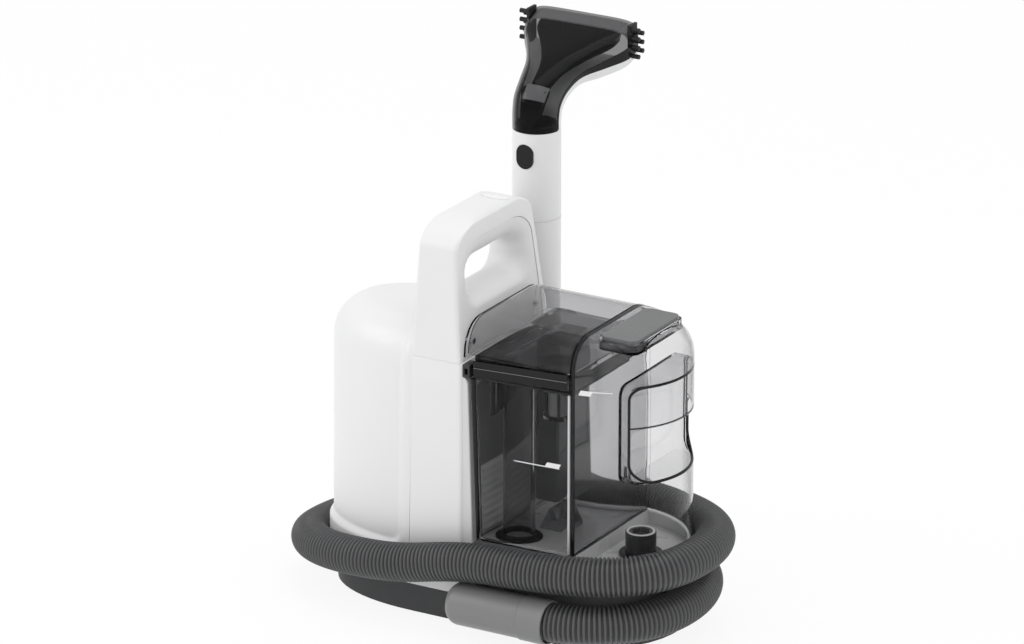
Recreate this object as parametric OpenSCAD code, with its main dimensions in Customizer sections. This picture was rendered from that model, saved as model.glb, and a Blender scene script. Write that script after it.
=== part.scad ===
// Portable spot extractor: casing with carrying handle, dirty and clean water tanks, hose, wand and nozzle.
// Frame: X runs towards the clean tank, Y across the casing, Z up. The origin lies on the ground under
// the middle of the column that carries the handle.

/* [Casing] */
// Half of the casing's width at the column
half_w = 75; // [73:0.5:76]
// Height of the parting line between column and handle
column_h = 243; // [240:1:246]
// Face of the column towards the tanks
column_front = 26; // [25.5:0.25:27]
// Thickness of the moulded casing walls
case_wall = 2.6; // [2:0.1:3.2]
// Top of the base pan
pan_top = 30; // [28:0.5:32]
// Thickness of the base pan's floor and walls
pan_wall = 3; // [2.5:0.1:4]
// Height of the rubber strips
foot_h = 4; // [3:0.5:5]
// Half of the width of the rubber strips that the casing stands on
foot_r = 7; // [5:0.5:10]
// Height of the hose ledge on the base pan
ledge_z = 9.4; // [9:0.1:9.5]

/* [Lobe] */
// Distance from the column's middle to the lobe's end
lobe_len = 143; // [138:1:143]
// Height of the lobe above the parting line of the column
lobe_rise = 22; // [19:1:27]
// Radius of the lobe's top edge
lobe_round = 35; // [25:1:45]
// Top of the lobe's skirt
skirt_top = 60; // [55:1:64]
// How far the lobe's wall stands back from its skirt
skirt_step = 3.6; // [2:0.2:5]

/* [Handle] */
// Height of the handle above the parting line
handle_rise = 118; // [114:1:124]
// Height of the handle's bow over its legs
bow_h = 24; // [20:1:28]
// How much the back of the bow is crowned
bow_crown = 3; // [1:0.5:4]
// How much each leg of the handle leans inwards
handle_lean = 8.5; // [6:0.5:11]
// Place of the grip's face towards the tanks
grip_front = 16.5; // [14:0.5:19]
// Depth of the grip
grip_depth = 38.5; // [34:0.5:41]
// Thickness of the grip over the hand opening
grip_t = 38; // [34:1:42]
// Height of the insert's lip below the hand opening above the parting line
opening_rise = 39; // [36:1:44]
// How high the insert swells under the hand
saddle_h = 11; // [6:1:14]
// How far the insert swells into the hand opening from each side
swell = 17; // [10:1:20]
// Width of the handle's rim beside its insert
insert_rim = 8; // [6:0.5:10]
// Height of the handle's rim over its insert
insert_drop = 17.3; // [15.3:0.5:19.3]
// Width of the insert's rim round the hand opening
opening_rim = 1.5; // [1:0.5:3]

/* [Power button] */
// Half of the power button's length across the grip
button_half = 12.8; // [9.8:0.5:13.8]
// Half of the power button's width
button_r = 7; // [5:0.5:8]
// Distance of the power button's middle from the grip's front
button_back = 17.5; // [16.5:0.5:19.5]
// Distance of the power button's middle from the casing's middle plane
button_side = 29; // [0:1:30]
// Travel of the power button
button_travel = 1.2; // [0.8:0.1:1.5]

/* [Tanks] */
// How far the tanks stand back from the casing's side at the partition
tank_step = 6; // [5.5:0.5:8]
// How far the dirty tank stands back from the casing's side beside the column
dirty_step = 1.5; // [1:0.5:4]
// Place of the partition between the tanks
partition_x = 130.6; // [128:0.2:132]
// Wall of both tanks
tank_wall = 2; // [1.6:0.1:2.6]
// Underside of the dirty tank
dirty_low = 82; // [80:1:84]
// How far the dirty tank's rim lies below the parting line
rim_drop = 11; // [9:1:15]
// Height of the dirty tank's lid
lid_h = 17; // [15:1:18]
// Height of the hood and of the clean tank above the parting line
arch_rise = 37; // [34:1:39]
// Length of the clean tank from the partition to its curved end
clean_len = 73; // [70:1:73.5]
// Underside of the clean tank
clean_low = 67; // [66:0.5:69]
// Height of the clean tank's dark tray
tray_h = 17; // [15:1:19]
// Gap between pieces that come apart
part_gap = 0.3; // [0.2:0.05:0.4]

/* [Finger pocket] */
// Distance of the pocket from each side of the tank
pocket_side = 16; // [15:1:21]
// Distance of the pocket's top from the tank's top
pocket_drop = 37; // [36:1:44]
// Height of the pocket
pocket_h = 90; // [85:1:95]
// Height of the lip that covers the pocket's upper part
lip_h = 37.5; // [31:0.5:45]
// Depth of the pocket at the tank's end
pocket_depth = 33; // [30:1:36]

/* [Release button] */
// Length of the release button along X
release_len = 35; // [30:1:36]
// Width of the release button along Y
release_wid = 82; // [74:1:84]
// Distance of the release button's middle from the partition
release_out = 31.4; // [29:0.2:32.4]
// Travel of the release button
release_travel = 2.5; // [2:0.1:3]

/* [Intake] */
// Place of the intake pipe along X
pipe_x = 67; // [64:0.5:70]
// Distance of the intake pipe's axis from the tanks' near side
pipe_side = 24; // [22:0.5:26]
// Outer radius of the intake pipe
pipe_r = 14; // [12:0.5:14.5]
// Wall of the intake pipe
pipe_wall = 2; // [1.5:0.1:2.5]
// Outer radius of the intake seal
seal_r = 20.6; // [18:0.2:21]

/* [Hose] */
// Outer radius of the hose over its ribs
hose_r = 17.3; // [16.5:0.1:17.3]
// Depth of the grooves between the ribs
rib_depth = 1.6; // [1:0.1:1.8]
// Radius of the hose's bore
hose_bore = 13.8; // [12:0.2:14]
// Distance from the casing's side to the hose's axis
hose_out = 19; // [19:0.5:20]
// Height of the hose where it leaves the collar
hose_low = 31.4; // [31.4:0.2:32]
// Radius of the smooth elbow
elbow_r = 19; // [18.8:0.1:19.2]
// Radius of the collar on the hose's end
collar_r = 19.8; // [19.6:0.1:20]

/* [Wand] */
// Distance from the casing's side to the wand's axis
wand_out = 24; // [23.5:0.5:26]
// Outer radius of the wand
wand_r = 21.4; // [20.8:0.1:21.6]
// Wall of the wand
wand_wall = 2.6; // [2.2:0.1:3]
// Lower end of the wand's sleeve
sleeve_low = 152; // [150:1:156]
// Joint between the wand's lower and upper tubes
joint_z = 323; // [316:1:330]
// Top of the wand
wand_top = 403; // [400:1:408]
// Distance of the trigger's middle below the wand's top
trigger_drop = 21; // [20:1:25]
// Half of the trigger's height
trigger_half = 11; // [9:0.5:12]
// Half of the trigger's width
trigger_r = 8; // [6:0.5:8.5]
// Travel of the trigger
trigger_travel = 3; // [2:0.2:3.2]

/* [Nozzle] */
// Half of the nozzle's width at its mouth
mouth_half = 49.5; // [44:0.5:52]
// Distance of the mouth from the wand's axis
mouth_out = 85; // [82:1:90]
// Height of the mouth's upper lip above the wand's top
mouth_up = 82; // [80:1:86]
// Height of the mouth
mouth_h = 34; // [30:1:36]
// Wall of the nozzle
nozzle_wall = 1.8; // [1.4:0.1:2.2]
// Turn of the nozzle on the wand
nozzle_yaw = 0; // [-8:1:8]
// Length of the bristles
bristle_len = 8; // [5:0.5:10]
// Radius of a bristle
bristle_r = 2.1; // [1.2:0.1:2.4]
// Depth of the plates that carry the bristles
bristle_plate = 13; // [12:0.5:20]

/* [Suction unit] */
// Place on the column's side. The motor stands midway between it and the end of the lobe
motor_front = -17; // [-25:1:-13]
// Radius of the motor's can
motor_r = 38; // [34:1:40]
// Radius of the impeller
impeller_r = 36; // [30:1:37]
// Radius of the motor's shaft
shaft_r = 3; // [2.5:0.1:3.5]
// Running clearance of the shaft in its bearing
shaft_gap = 0.05; // [0.03:0.01:0.08]

/* [Hidden] */
$fn = 48;
eps = 0.01;

white = "#e8e8ea";
pan_grey = "#3f4144";
smoke_dark = "#4a4c50";
smoke_clear = "#a7abb0";
hose_grey = "#36373a";
black_rubber = "#1d1e20";
board_green = "#2f6f4e";
metal = "#b9bcc0";

// Heights and widths that follow the casing
lobe_h = column_h + lobe_rise;
handle_top = column_h + handle_rise;
handle_half = half_w - handle_lean;
grip_low = handle_top - grip_t;
leg_top = handle_top - bow_h;
grip_rear = grip_front - grip_depth;
insert_top = handle_top - insert_drop;
opening_low = column_h + opening_rise;
tank_half = half_w - tank_step;
dirty_half = half_w - dirty_step;
rim_z = column_h - rim_drop;
arch_top = column_h + arch_rise;
pocket_half = tank_half - pocket_side;
pocket_high = arch_top - pocket_drop;
pocket_low = pocket_high - pocket_h;
lip_low = pocket_high - lip_h;
pocket_x = partition_x + part_gap + clean_len - pocket_depth;
release_x = partition_x + release_out;
pipe_y = pipe_side - tank_half;
hose_side = half_w + hose_out;
wand_y = half_w + wand_out;
trigger_z = wand_top - trigger_drop;

// Casing outline
rear_x = -25;
rear_top_x = -23.5;
rear_low_x = -27.5;
end_round = 2.2;
deck_end = 60;
deck_front = column_front + 12.5;
bulkhead_top = column_h - 12;
bulkhead_low_x = column_front + 10;
bulkhead_high_x = column_front + 5.5;
louvre_count = 9;
louvre_pitch = 6.7;
louvre_low = 88;
louvre_half = 56;
dirty_low_x = column_front + 13.4;
dirty_high_x = column_front + 9;
lid_z = rim_z + 2;
lid_top = lid_z + lid_h;
lid_left = dirty_high_x - 0.4;
clean_x = partition_x + part_gap;
clean_rim = clean_low + tray_h;
arch_rx = 26;
arch_rz = 28;
end_rx = 30;
clean_round = 2;
hood_left = column_front + 2.6;
plate_x = column_front - 0.8;
plate_t = 1.8;
plate_low = column_h + 5;
seam = 0.25;
screw_y = [20 - half_w, half_w - 21];
screw_z = plate_low + 10.5;
valve_x = release_x;
release_y = -3;
release_corner = 8;
well_wall = 1.6;
well_floor = 2;
release_low = arch_top - 2.6;
spring_shut = 2.9;
well_low = release_low - release_travel - spring_shut - well_floor;
motor_x = (motor_front - lobe_len) / 2;
float_x = 100;
float_y = -35;
float_drop = 32;
float_low = rim_z - float_drop;
elbow_x = 60;
collar_x = 101;
elbow_len = 33;
elbow_round = 11;
collar_len = 25;
socket_gap = 0.35;
hose_start = 93;
hose_end = 195;
bend_r = 58;

// Mathematics of outlines
function signed_power(v, e) = sign(v) * pow(abs(v), e);
function oval_point(t, a, b, n) = [a * signed_power(cos(t), 2 / n), b * signed_power(sin(t), 2 / n)];
function oval_arc(cx, a, b, n, t0, t1, steps) =
  [for (i = [0:steps]) [cx, 0] + oval_point(t0 + (t1 - t0) * i / steps, a, b, n)];
function arc(c, rx, ry, t0, t1, steps) =
  [for (i = [0:steps]) let (t = t0 + (t1 - t0) * i / steps) c + [rx * cos(t), ry * sin(t)]];
function mix(a, b, t) = a + (b - a) * t;
function at_height(ring, z) = [for (p = ring) [p[0], p[1], z]];
function reversed(list) = [for (i = [len(list) - 1:-1:0]) list[i]];

// Rounded rectangle round the origin
function round_rect(hx, hy, r, steps = 5) = concat(
  arc([hx - r, hy - r], r, r, 0, 90, steps), arc([r - hx, hy - r], r, r, 90, 180, steps),
  arc([r - hx, r - hy], r, r, 180, 270, steps), arc([hx - r, r - hy], r, r, 270, 360, steps));

// Rounded outline with straight ends at x0 and x1 and half-widths w0 and w1 there
function tank_plan(x0, x1, w0, w1, r, steps = 4) = concat(
  arc([x0 + r, r - w0], r, r, 180, 270, steps), arc([x1 - r, r - w1], r, r, 270, 360, steps),
  arc([x1 - r, w1 - r], r, r, 0, 90, steps), arc([x0 + r, w0 - r], r, r, 90, 180, steps));

// Outline with a flat side at x0 and a curved end towards +X
function d_plan(x0, a, b, n, steps = 28) = oval_arc(x0, a, b, n, -90, 90, steps);

// Arch over the tanks, seen along X
function arch_profile(half, top, low, rx, rz, steps = 6) = concat(
  [[-half, low], [half, low]], arc([half - rx, top - rz], rx, rz, 0, 90, steps),
  arc([rx - half, top - rz], rx, rz, 90, 180, steps));

// Closed skin over a stack of rings, each counter-clockwise and with the same count of points
module skin(rings) {
  n = len(rings[0]);
  last = (len(rings) - 1) * n;
  sides = [for (k = [0:len(rings) - 2], i = [0:n - 1])
    let (a = k * n + i, b = k * n + (i + 1) % n) each [[a, b + n, b], [a, a + n, b + n]]];
  first_cap = [for (i = [1:n - 2]) [0, i, i + 1]];
  last_cap = [for (i = [1:n - 2]) [last, last + i + 1, last + i]];
  polyhedron(points = [for (r = rings) each r], faces = concat(first_cap, sides, last_cap));
}

// Skin over open channel sections: each ring runs along the outside and back along the inside
module channel_skin(rings) {
  n = len(rings[0]);
  half = n / 2;
  last = (len(rings) - 1) * n;
  sides = [for (k = [0:len(rings) - 2], i = [0:n - 1])
    let (a = k * n + i, b = k * n + (i + 1) % n) each [[a, b + n, b], [a, a + n, b + n]]];
  first_cap = [for (i = [0:half - 2])
    each [[i, i + 1, n - 2 - i], [i, n - 2 - i, n - 1 - i]]];
  last_cap = [for (i = [0:half - 2])
    each [[last + i, last + n - 2 - i, last + i + 1], [last + i, last + n - 1 - i, last + n - 2 - i]]];
  polyhedron(points = [for (r = rings) each r], faces = concat(first_cap, sides, last_cap));
}

// Extrusion along X of an outline drawn in Y and Z
module along_x(x0, x1) {
  translate([x0, 0, 0])
    rotate([90, 0, 90])
      linear_extrude(x1 - x0) children();
}

// Extrusion along Y of an outline drawn in X and Z
module along_y(y0, y1) {
  translate([0, y1, 0])
    rotate([90, 0, 0])
      linear_extrude(y1 - y0) children();
}

// Outline with two round ends, long along Y
module stadium(half, r) {
  translate([0, half - r]) circle(r);
  translate([0, r - half]) circle(r);
  square([2 * r, 2 * (half - r)], center = true);
}

module tube(r_out, r_in, z0, z1) {
  translate([0, 0, z0])
    difference() {
      cylinder(r = r_out, h = z1 - z0);
      translate([0, 0, -1]) cylinder(r = r_in, h = z1 - z0 + 2);
    }
}

// ---- Base ----

function pan_outline(inset) = concat(
  [[column_front + 14, inset - half_w + 2]],
  oval_arc(partition_x, deck_end - inset, tank_half + 0.5 - inset, end_round, -90, 90, 20),
  [[column_front + 14, half_w - 2 - inset]],
  oval_arc(rear_x, lobe_len + rear_x - 8 - inset, half_w - 2 - inset, end_round, 90, 270, 32));

function ledge_outline() = concat(
  oval_arc(hose_turn_x, hose_turn_a - 6, hose_side - 6, end_round, -90, 90, 20),
  oval_arc(rear_x, hose_lobe_a - 6, hose_side - 6, end_round, 90, 180, 14),
  [[hose_turn_x, 0]]);

// Place along X and half-length of each rubber strip
foot_strips = [[-98, 44], [0, 62], [150, 52]];

module rubber_feet() {
  color(black_rubber)
    for (strip = foot_strips)
      translate([strip[0], 0, 0]) linear_extrude(foot_h) stadium(strip[1], foot_r);
}

module base_pan() {
  color(pan_grey)
    difference() {
      union() {
        translate([0, 0, foot_h]) linear_extrude(pan_top - foot_h) polygon(pan_outline(0));
        translate([0, 0, ledge_z]) linear_extrude(pan_wall) polygon(ledge_outline());
      }
      translate([0, 0, foot_h + pan_wall]) linear_extrude(pan_top) polygon(pan_outline(pan_wall));
      hose_passage();
      for (x = screw_x, y = screw_sides)
        translate([x, y, foot_h - 1]) {
          cylinder(r = screw_head + part_gap, h = 2.5);
          cylinder(r = screw_shank + 0.05, h = pan_wall + 2);
        }
    }
}

// Way of the suction air from the elbow to the foot of the intake pipe
module hose_passage() {
  translate([elbow_x, pipe_y, hose_low])
    rotate([90, 0, 0]) cylinder(r = pipe_r - pipe_wall, h = 60);
  translate([pipe_x, pipe_y, hose_low]) cylinder(r = pipe_r - pipe_wall, h = 60);
}

screw_x = [-60, 110];
screw_sides = [-58, 58];
screw_head = 3.6;
screw_shank = 1.8;

module case_screws() {
  color(metal)
    for (x = screw_x, y = screw_sides)
      translate([x, y, foot_h]) {
        cylinder(r = screw_head, h = 1.5);
        cylinder(r = screw_shank, h = pan_wall + 8);
      }
}

function deck_outline() = concat(
  [[deck_front, -dirty_half], [partition_x, -tank_half]],
  oval_arc(partition_x, deck_end, tank_half, end_round, -90, 90, 20),
  [[partition_x, tank_half], [deck_front, dirty_half]]);

module tank_deck() {
  color(pan_grey)
    difference() {
      union() {
        translate([0, 0, pan_top])
          linear_extrude(clean_low - part_gap - pan_top) polygon(deck_outline());
        translate([0, 0, pan_top])
          linear_extrude(dirty_low - part_gap - pan_top)
            polygon([
              [deck_front, -dirty_half], [partition_x - 1, -tank_half],
              [partition_x - 1, tank_half], [deck_front, dirty_half]
            ]);
      }
      hose_passage();
      translate([valve_x, 0, clean_low - 15]) cylinder(r = 9.4, h = 30);
      translate([70, -28, pan_top - 1]) cube([56, 88, 29]);
    }
}

// ---- Lobe ----

// Flat side of the lobe at a height
function lobe_flat(z) = mix(rear_low_x, rear_top_x, min(1, (z - pan_top) / (column_h - pan_top))) - 0.1;

// Ring of the lobe's wall. The panel's stand-back leaves a flush strip beside the column
function lobe_ring(z, inset, back, panel = 0) =
  let (x0 = lobe_flat(z) - back, last = 32, full = inset + panel)
  [for (i = [0:last]) let (
      d = i == 0 || i == last ? inset : full,
      p = oval_point(90 + 180 * i / last, lobe_len - d + x0, half_w - d, end_round)
    ) [p[0] + x0, p[1], z]];

module lobe_shell() {
  draft = 1.5;
  shoulder = lobe_h - lobe_round;
  in_round = lobe_round - case_wall;
  outer = concat(
    [lobe_ring(pan_top, 0, 0), lobe_ring(skirt_top, 0, 0), lobe_ring(skirt_top + 9, 0, 0, skirt_step)],
    [for (i = [0:6]) let (t = 15 * i)
      lobe_ring(shoulder + lobe_round * sin(t), draft + lobe_round * (1 - cos(t)), 0, skirt_step)]);
  inner = concat(
    [for (i = [4:-1:0]) let (t = 22.5 * i)
      lobe_ring(shoulder + in_round * sin(t),
        skirt_step + draft + case_wall + in_round * (1 - cos(t)), case_wall)],
    [lobe_ring(pan_top, case_wall + skirt_step, case_wall)]);
  color(white)
    difference() {
      skin(concat(inner, outer));
      translate([grille_x + grille_clear - grille_cut, -grille_half, grille_z])
        cube([grille_cut, 2 * grille_half, grille_h]);
      translate([gland_x, 50, gland_z]) rotate([-90, 0, 0]) cylinder(r = gland_r + 0.1, h = 40);
    }
}

grille_half = 24;
grille_z = 137;
grille_h = 26;
grille_x = 9.5 - lobe_len;
grille_clear = 13.5;
grille_cut = 40;
gland_x = -58;
gland_z = 82;
gland_r = 6;

module exhaust_grille() {
  bars = 5;
  pitch = (grille_h - 4) / bars;
  color(smoke_dark)
    difference() {
      translate([grille_x, 0.2 - grille_half, grille_z + 0.2])
        cube([3, 2 * grille_half - 0.4, grille_h - 0.4]);
      for (i = [0:bars - 1])
        translate([grille_x - 1, 3 - grille_half, grille_z + 2.4 + i * pitch])
          cube([5, 2 * grille_half - 6, pitch - 2]);
    }
}

module cord_gland() {
  color(pan_grey)
    translate([gland_x, half_w - 12, gland_z])
      rotate([-90, 0, 0])
        difference() {
          union() {
            cylinder(r = gland_r, h = 12);
            translate([0, 0, 7.6]) cylinder(r = gland_r + 2, h = 2);
          }
          translate([0, 0, -1]) cylinder(r = 3.2, h = 20);
        }
}

// ---- Column ----

function column_profile(inset) = [
  [rear_low_x + inset, pan_top - (inset > 0 ? 1 : 0)],
  [column_front - inset, pan_top - (inset > 0 ? 1 : 0)],
  [column_front - inset, column_h - inset],
  [rear_top_x + inset, column_h - inset]
];

function bulkhead_profile() = concat(
  [[column_front - eps, pan_top], [deck_front - 0.1, pan_top], [deck_front - 0.1, 66],
    [bulkhead_low_x, 66.5]],
  arc([bulkhead_high_x - 5, bulkhead_top - 8], 5, 8, 0, 90, 5),
  [[column_front - eps, bulkhead_top]]);

module column_shell() {
  color(white) {
    intersection() {
      difference() {
        along_y(-half_w, half_w) polygon(column_profile(0));
        along_y(case_wall - half_w, half_w - case_wall) polygon(column_profile(case_wall));
      }
      linear_extrude(column_h + 1)
        translate([column_front - 40, 0]) polygon(round_rect(40, half_w, 2.5));
    }
    intersection() {
      along_y(2 - half_w, half_w - 2) polygon(bulkhead_profile());
      linear_extrude(column_h)
        polygon([
          [0, 1 - half_w], [column_front, 1 - half_w], [deck_front, 5 - half_w],
          [deck_front, half_w - 5], [column_front, half_w - 1], [0, half_w - 1]
        ]);
    }
  }
}

// Slope of the bulkhead's face that carries the louvre
bulkhead_slope = atan((bulkhead_low_x - bulkhead_high_x) / (bulkhead_top - 8 - 66.5));

module column_louvre() {
  color(white)
    translate([bulkhead_low_x, 0, 66.5])
      rotate([0, -bulkhead_slope, 0]) {
        translate([0, -louvre_half - 3, louvre_low - 70])
          cube([0.8, 2 * louvre_half + 6, louvre_count * louvre_pitch + 2]);
        for (i = [0:louvre_count - 1])
          translate([0.8 - eps, 0, louvre_low - 67 + i * louvre_pitch])
            along_y(-louvre_half, louvre_half) polygon([[0, 0], [1.8, 0.6], [1.8, 1.6], [0, 4.2]]);
      }
}

module side_latches() {
  color(smoke_dark)
    for (s = [-1, 1])
      translate([column_front, s > 0 ? half_w - 16 : 2.5 - half_w, bulkhead_top])
        difference() {
          cube([7, 13.5, 11.5]);
          translate([2, -1, 3]) cube([3, 16, 5]);
        }
}

// ---- Handle ----

// Half-width of the handle at a height
function handle_y(z) =
  let (leg = max(0, (z - column_h) / (leg_top - column_h)), bow = (z - leg_top) / bow_h)
  leg < 1 ? mix(half_w, handle_half, pow(leg, 1.4)) : handle_half * pow(max(0, 1 - bow * bow), 1 / 3);
function handle_front(z) = mix(column_front - 1, grip_front, min(1, (z - column_h) / (leg_top - column_h)));
function handle_rear(z) = mix(rear_top_x, grip_rear, min(1, (z - column_h) / (leg_top - column_h)));

// Ring of the handle. The rings draw in towards the crowned back of the bow
function handle_ring(z) =
  let (
    crown = max(0, 1 - (handle_top - z) / bow_crown),
    front = handle_front(z),
    rear = handle_rear(z),
    hx = (front - rear) / 2 * sqrt(max(0.02, 1 - crown)),
    hy = max(12, handle_y(z))
  )
  [for (p = round_rect(hx, hy, min(6, hx - 0.5), 4)) [p[0] + (front + rear) / 2, p[1], z]];

module handle_form() {
  legs = [for (i = [0:4]) mix(column_h, leg_top, i / 4)];
  bow = [for (i = [1:6]) mix(leg_top, handle_top - bow_crown, sin(15 * i))];
  back = [for (u = [0.25, 0.5, 0.75, 0.9, 1]) handle_top - bow_crown * (1 - u)];
  skin([for (z = concat(legs, bow, back)) handle_ring(z)]);
}

// Opening of the handle shell that its insert fills, seen along X
insert_ry = 34;
insert_rz = 24;
insert_shoulder = insert_top - insert_rz;
insert_side = handle_y(insert_shoulder) - insert_rim;
function insert_edge(inset, low) = concat(
  [for (i = [0:4]) let (z = mix(low, insert_shoulder, i / 4)) [handle_y(z) - insert_rim - inset, z]],
  arc([insert_side - insert_ry, insert_shoulder], insert_ry - inset, insert_rz - inset, 10, 90, 8));
function insert_profile(inset, low) =
  let (edge = insert_edge(inset, low)) concat(edge, [for (p = reversed(edge)) [-p[0], p[1]]]);

// Outline of the hand opening, seen along X, with round lower and oval upper corners
function opening_outline(half, low, high, low_r, top_ry, top_rz) = concat(
  arc([low_r - half, low + low_r], low_r, low_r, 180, 270, 6),
  arc([half - low_r, low + low_r], low_r, low_r, 270, 360, 6),
  arc([half - top_ry, high - top_rz], top_ry, top_rz, 0, 90, 6),
  arc([top_ry - half, high - top_rz], top_ry, top_rz, 90, 180, 6));
opening_lip = opening_outline(insert_side - opening_rim, opening_low, insert_top - opening_rim,
  24, insert_ry - opening_rim, insert_rz - opening_rim);
opening_waist = opening_outline(insert_side - opening_rim - swell, opening_low + saddle_h, grip_low,
  0.4 * (grip_low - opening_low - saddle_h), 16, 0.4 * (grip_low - opening_low - saddle_h));

// Ring of the hand opening from the handle's rear at -1 over its waist at 0 to its front at 1
function opening_ring(s, beyond = 0) = [for (i = [0:len(opening_lip) - 1])
  let (p = mix(opening_lip[i], opening_waist[i], sqrt(1 - s * s)))
  [mix(handle_rear(p[1]) + insert_step, handle_front(p[1]) - insert_step, (1 + s) / 2) + beyond,
    p[0], p[1]]];
insert_step = 0.6;

module handle_shell() {
  color(white)
    difference() {
      handle_form();
      along_x(-40, 40) polygon(insert_profile(0, column_h - 1));
      button_space(part_gap, button_floor);
    }
}

module handle_insert() {
  stations = [-0.92, -0.7, -0.38, 0, 0.38, 0.7, 0.92];
  color(white)
    difference() {
      intersection() {
        along_x(-40, 40) polygon(insert_profile(seam, column_h));
        along_y(-half_w, half_w)
          polygon([
            [rear_top_x + insert_step, column_h - 2], [column_front - 1 - insert_step, column_h - 2],
            [grip_front - insert_step, leg_top], [grip_front - insert_step, handle_top],
            [grip_rear + insert_step, handle_top], [grip_rear + insert_step, leg_top]
          ]);
      }
      skin(concat([opening_ring(-1, -3)], [for (s = stations) opening_ring(s)], [opening_ring(1, 3)]));
      for (y = screw_y)
        translate([plate_x - 12, y, screw_z]) rotate([0, 90, 0]) cylinder(r = screw_shank + 0.05, h = 20);
    }
}

button_x = grip_front - button_back;
button_floor = handle_top - 6;

// Space of the oval power button, with a clearance round it
module button_space(gap, low) {
  translate([button_x, button_side, low])
    linear_extrude(20)
      polygon([for (i = [0:31]) [(button_half + gap) * cos(11.25 * i), (button_r + gap) * sin(11.25 * i)]]);
}

module power_button() {
  color(white)
    intersection() {
      translate([0, 0, 0.25]) handle_form();
      button_space(0, button_floor + button_travel + part_gap);
    }
}

module cover_plate() {
  color(smoke_clear)
    difference() {
      along_x(plate_x, plate_x + plate_t)
        polygon(arch_profile(tank_half, arch_top - 1, plate_low, arch_rx, arch_rz));
      for (y = screw_y)
        translate([plate_x - 1, y, screw_z]) rotate([0, 90, 0]) cylinder(r = screw_shank + 0.05, h = 5);
    }
}

module plate_screws() {
  color(metal)
    for (y = screw_y)
      translate([plate_x - 8, y, screw_z])
        rotate([0, 90, 0]) {
          cylinder(r = screw_shank, h = 8 + plate_t);
          translate([0, 0, 8 + plate_t]) cylinder(r = 2.8, h = 0.7);
        }
}

// ---- Dirty tank ----

function dirty_left(z) = mix(dirty_low_x, dirty_high_x, (z - dirty_low) / (rim_z - dirty_low));
function dirty_ring(z, inset) =
  at_height(tank_plan(dirty_left(z) + inset, partition_x - part_gap - inset,
    dirty_half - inset, tank_half - inset, 6), z);

module dirty_tank() {
  color(smoke_dark)
    difference() {
      skin([
        dirty_ring(dirty_low, 5), dirty_ring(dirty_low + 1.5, 1.5), dirty_ring(dirty_low + 5, 0),
        dirty_ring(rim_z, 0), dirty_ring(rim_z, tank_wall), dirty_ring(dirty_low + 5, tank_wall),
        dirty_ring(dirty_low + tank_wall, tank_wall + 3)
      ]);
      translate([pipe_x, pipe_y, dirty_low - 5]) cylinder(r = pipe_r - pipe_wall, h = 20);
    }
}

module intake_pipe() {
  color(smoke_dark)
    translate([pipe_x, pipe_y, 0]) tube(pipe_r, pipe_r - pipe_wall, dirty_low + tank_wall, rim_z - 3);
}

module intake_seal() {
  color(black_rubber)
    translate([pipe_x, pipe_y, 0]) {
      tube(seal_r, pipe_r + 0.05, dirty_low + tank_wall, dirty_low + tank_wall + 2.5);
      tube(pipe_r + 3, pipe_r + 0.05, dirty_low + tank_wall + 2.5 - eps, dirty_low + tank_wall + 5);
    }
}

module tank_baffle() {
  color(smoke_dark)
    translate([0, 0, dirty_low + tank_wall])
      along_y(-16, 14) polygon([[70, 0], [92, 0], [92, 3], [84, 20], [80, 20]]);
}

module lid_gasket() {
  color(black_rubber)
    translate([0, 0, rim_z + part_gap])
      difference() {
        linear_extrude(lid_z - rim_z - part_gap)
          polygon(tank_plan(dirty_high_x + 0.4, partition_x - part_gap - 0.4,
            dirty_half - 0.4, tank_half - 0.4, 6));
        translate([0, 0, -1]) linear_extrude(4)
          polygon(tank_plan(dirty_high_x + 3, partition_x - part_gap - 3, dirty_half - 3, tank_half - 3, 5));
      }
}

module dirty_lid() {
  color(smoke_dark)
    difference() {
      union() {
        translate([0, 0, lid_z]) linear_extrude(lid_h - 8)
          polygon(tank_plan(lid_left, partition_x - part_gap, dirty_half, tank_half, 6));
        translate([0, 0, lid_top - 8 - eps]) linear_extrude(8 + eps)
          polygon(tank_plan(lid_left + 1.2, partition_x - part_gap - 1.2,
            dirty_half - 1.2, tank_half - 1.2, 6));
      }
      translate([0, 0, lid_z - 1]) linear_extrude(lid_h - lid_roof + 1)
        polygon(tank_plan(lid_left + 4, partition_x - part_gap - 4, dirty_half - 4, tank_half - 4, 4));
      for (x = [46, 59])
        translate([x, -34, lid_top - 1]) cube([3, 60, 2]);
    }
}

module hood() {
  low = lid_top;
  color(smoke_clear)
    difference() {
      along_x(hood_left, partition_x - part_gap)
        polygon(arch_profile(tank_half - 1.4, arch_top, low, arch_rx, arch_rz));
      along_x(hood_left - 1, partition_x - part_gap - tank_wall)
        polygon(arch_profile(tank_half - 1.4 - tank_wall, arch_top - tank_wall, low - 1,
          arch_rx - tank_wall, arch_rz - tank_wall));
    }
}

lid_roof = 5;
separator_x = 54;
separator_y = -6;
separator_l = 50;
separator_w = 44;
separator_rise = 38;
slot_h = 40;

module separator_box() {
  top = lid_top - lid_roof;
  low = dirty_low + separator_rise;
  wall = tank_wall;
  color(smoke_dark)
    difference() {
      translate([separator_x, separator_y, low]) cube([separator_l, separator_w, top - low]);
      translate([separator_x + wall, separator_y + wall, low - 1])
        cube([separator_l - 2 * wall, separator_w - 2 * wall, top - low + 1 - 1.5 * wall]);
      translate([separator_x + separator_l - 4 * wall, separator_y + 4 * wall, rim_z - slot_h - 20])
        cube([6 * wall, separator_w - 8 * wall, slot_h]);
    }
}

cage_r = 13.5;
cage_bore = 6;
cage_ring = 3;
cage_bar = 1.4;
float_gap = 0.4;
float_h = 24;

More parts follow.
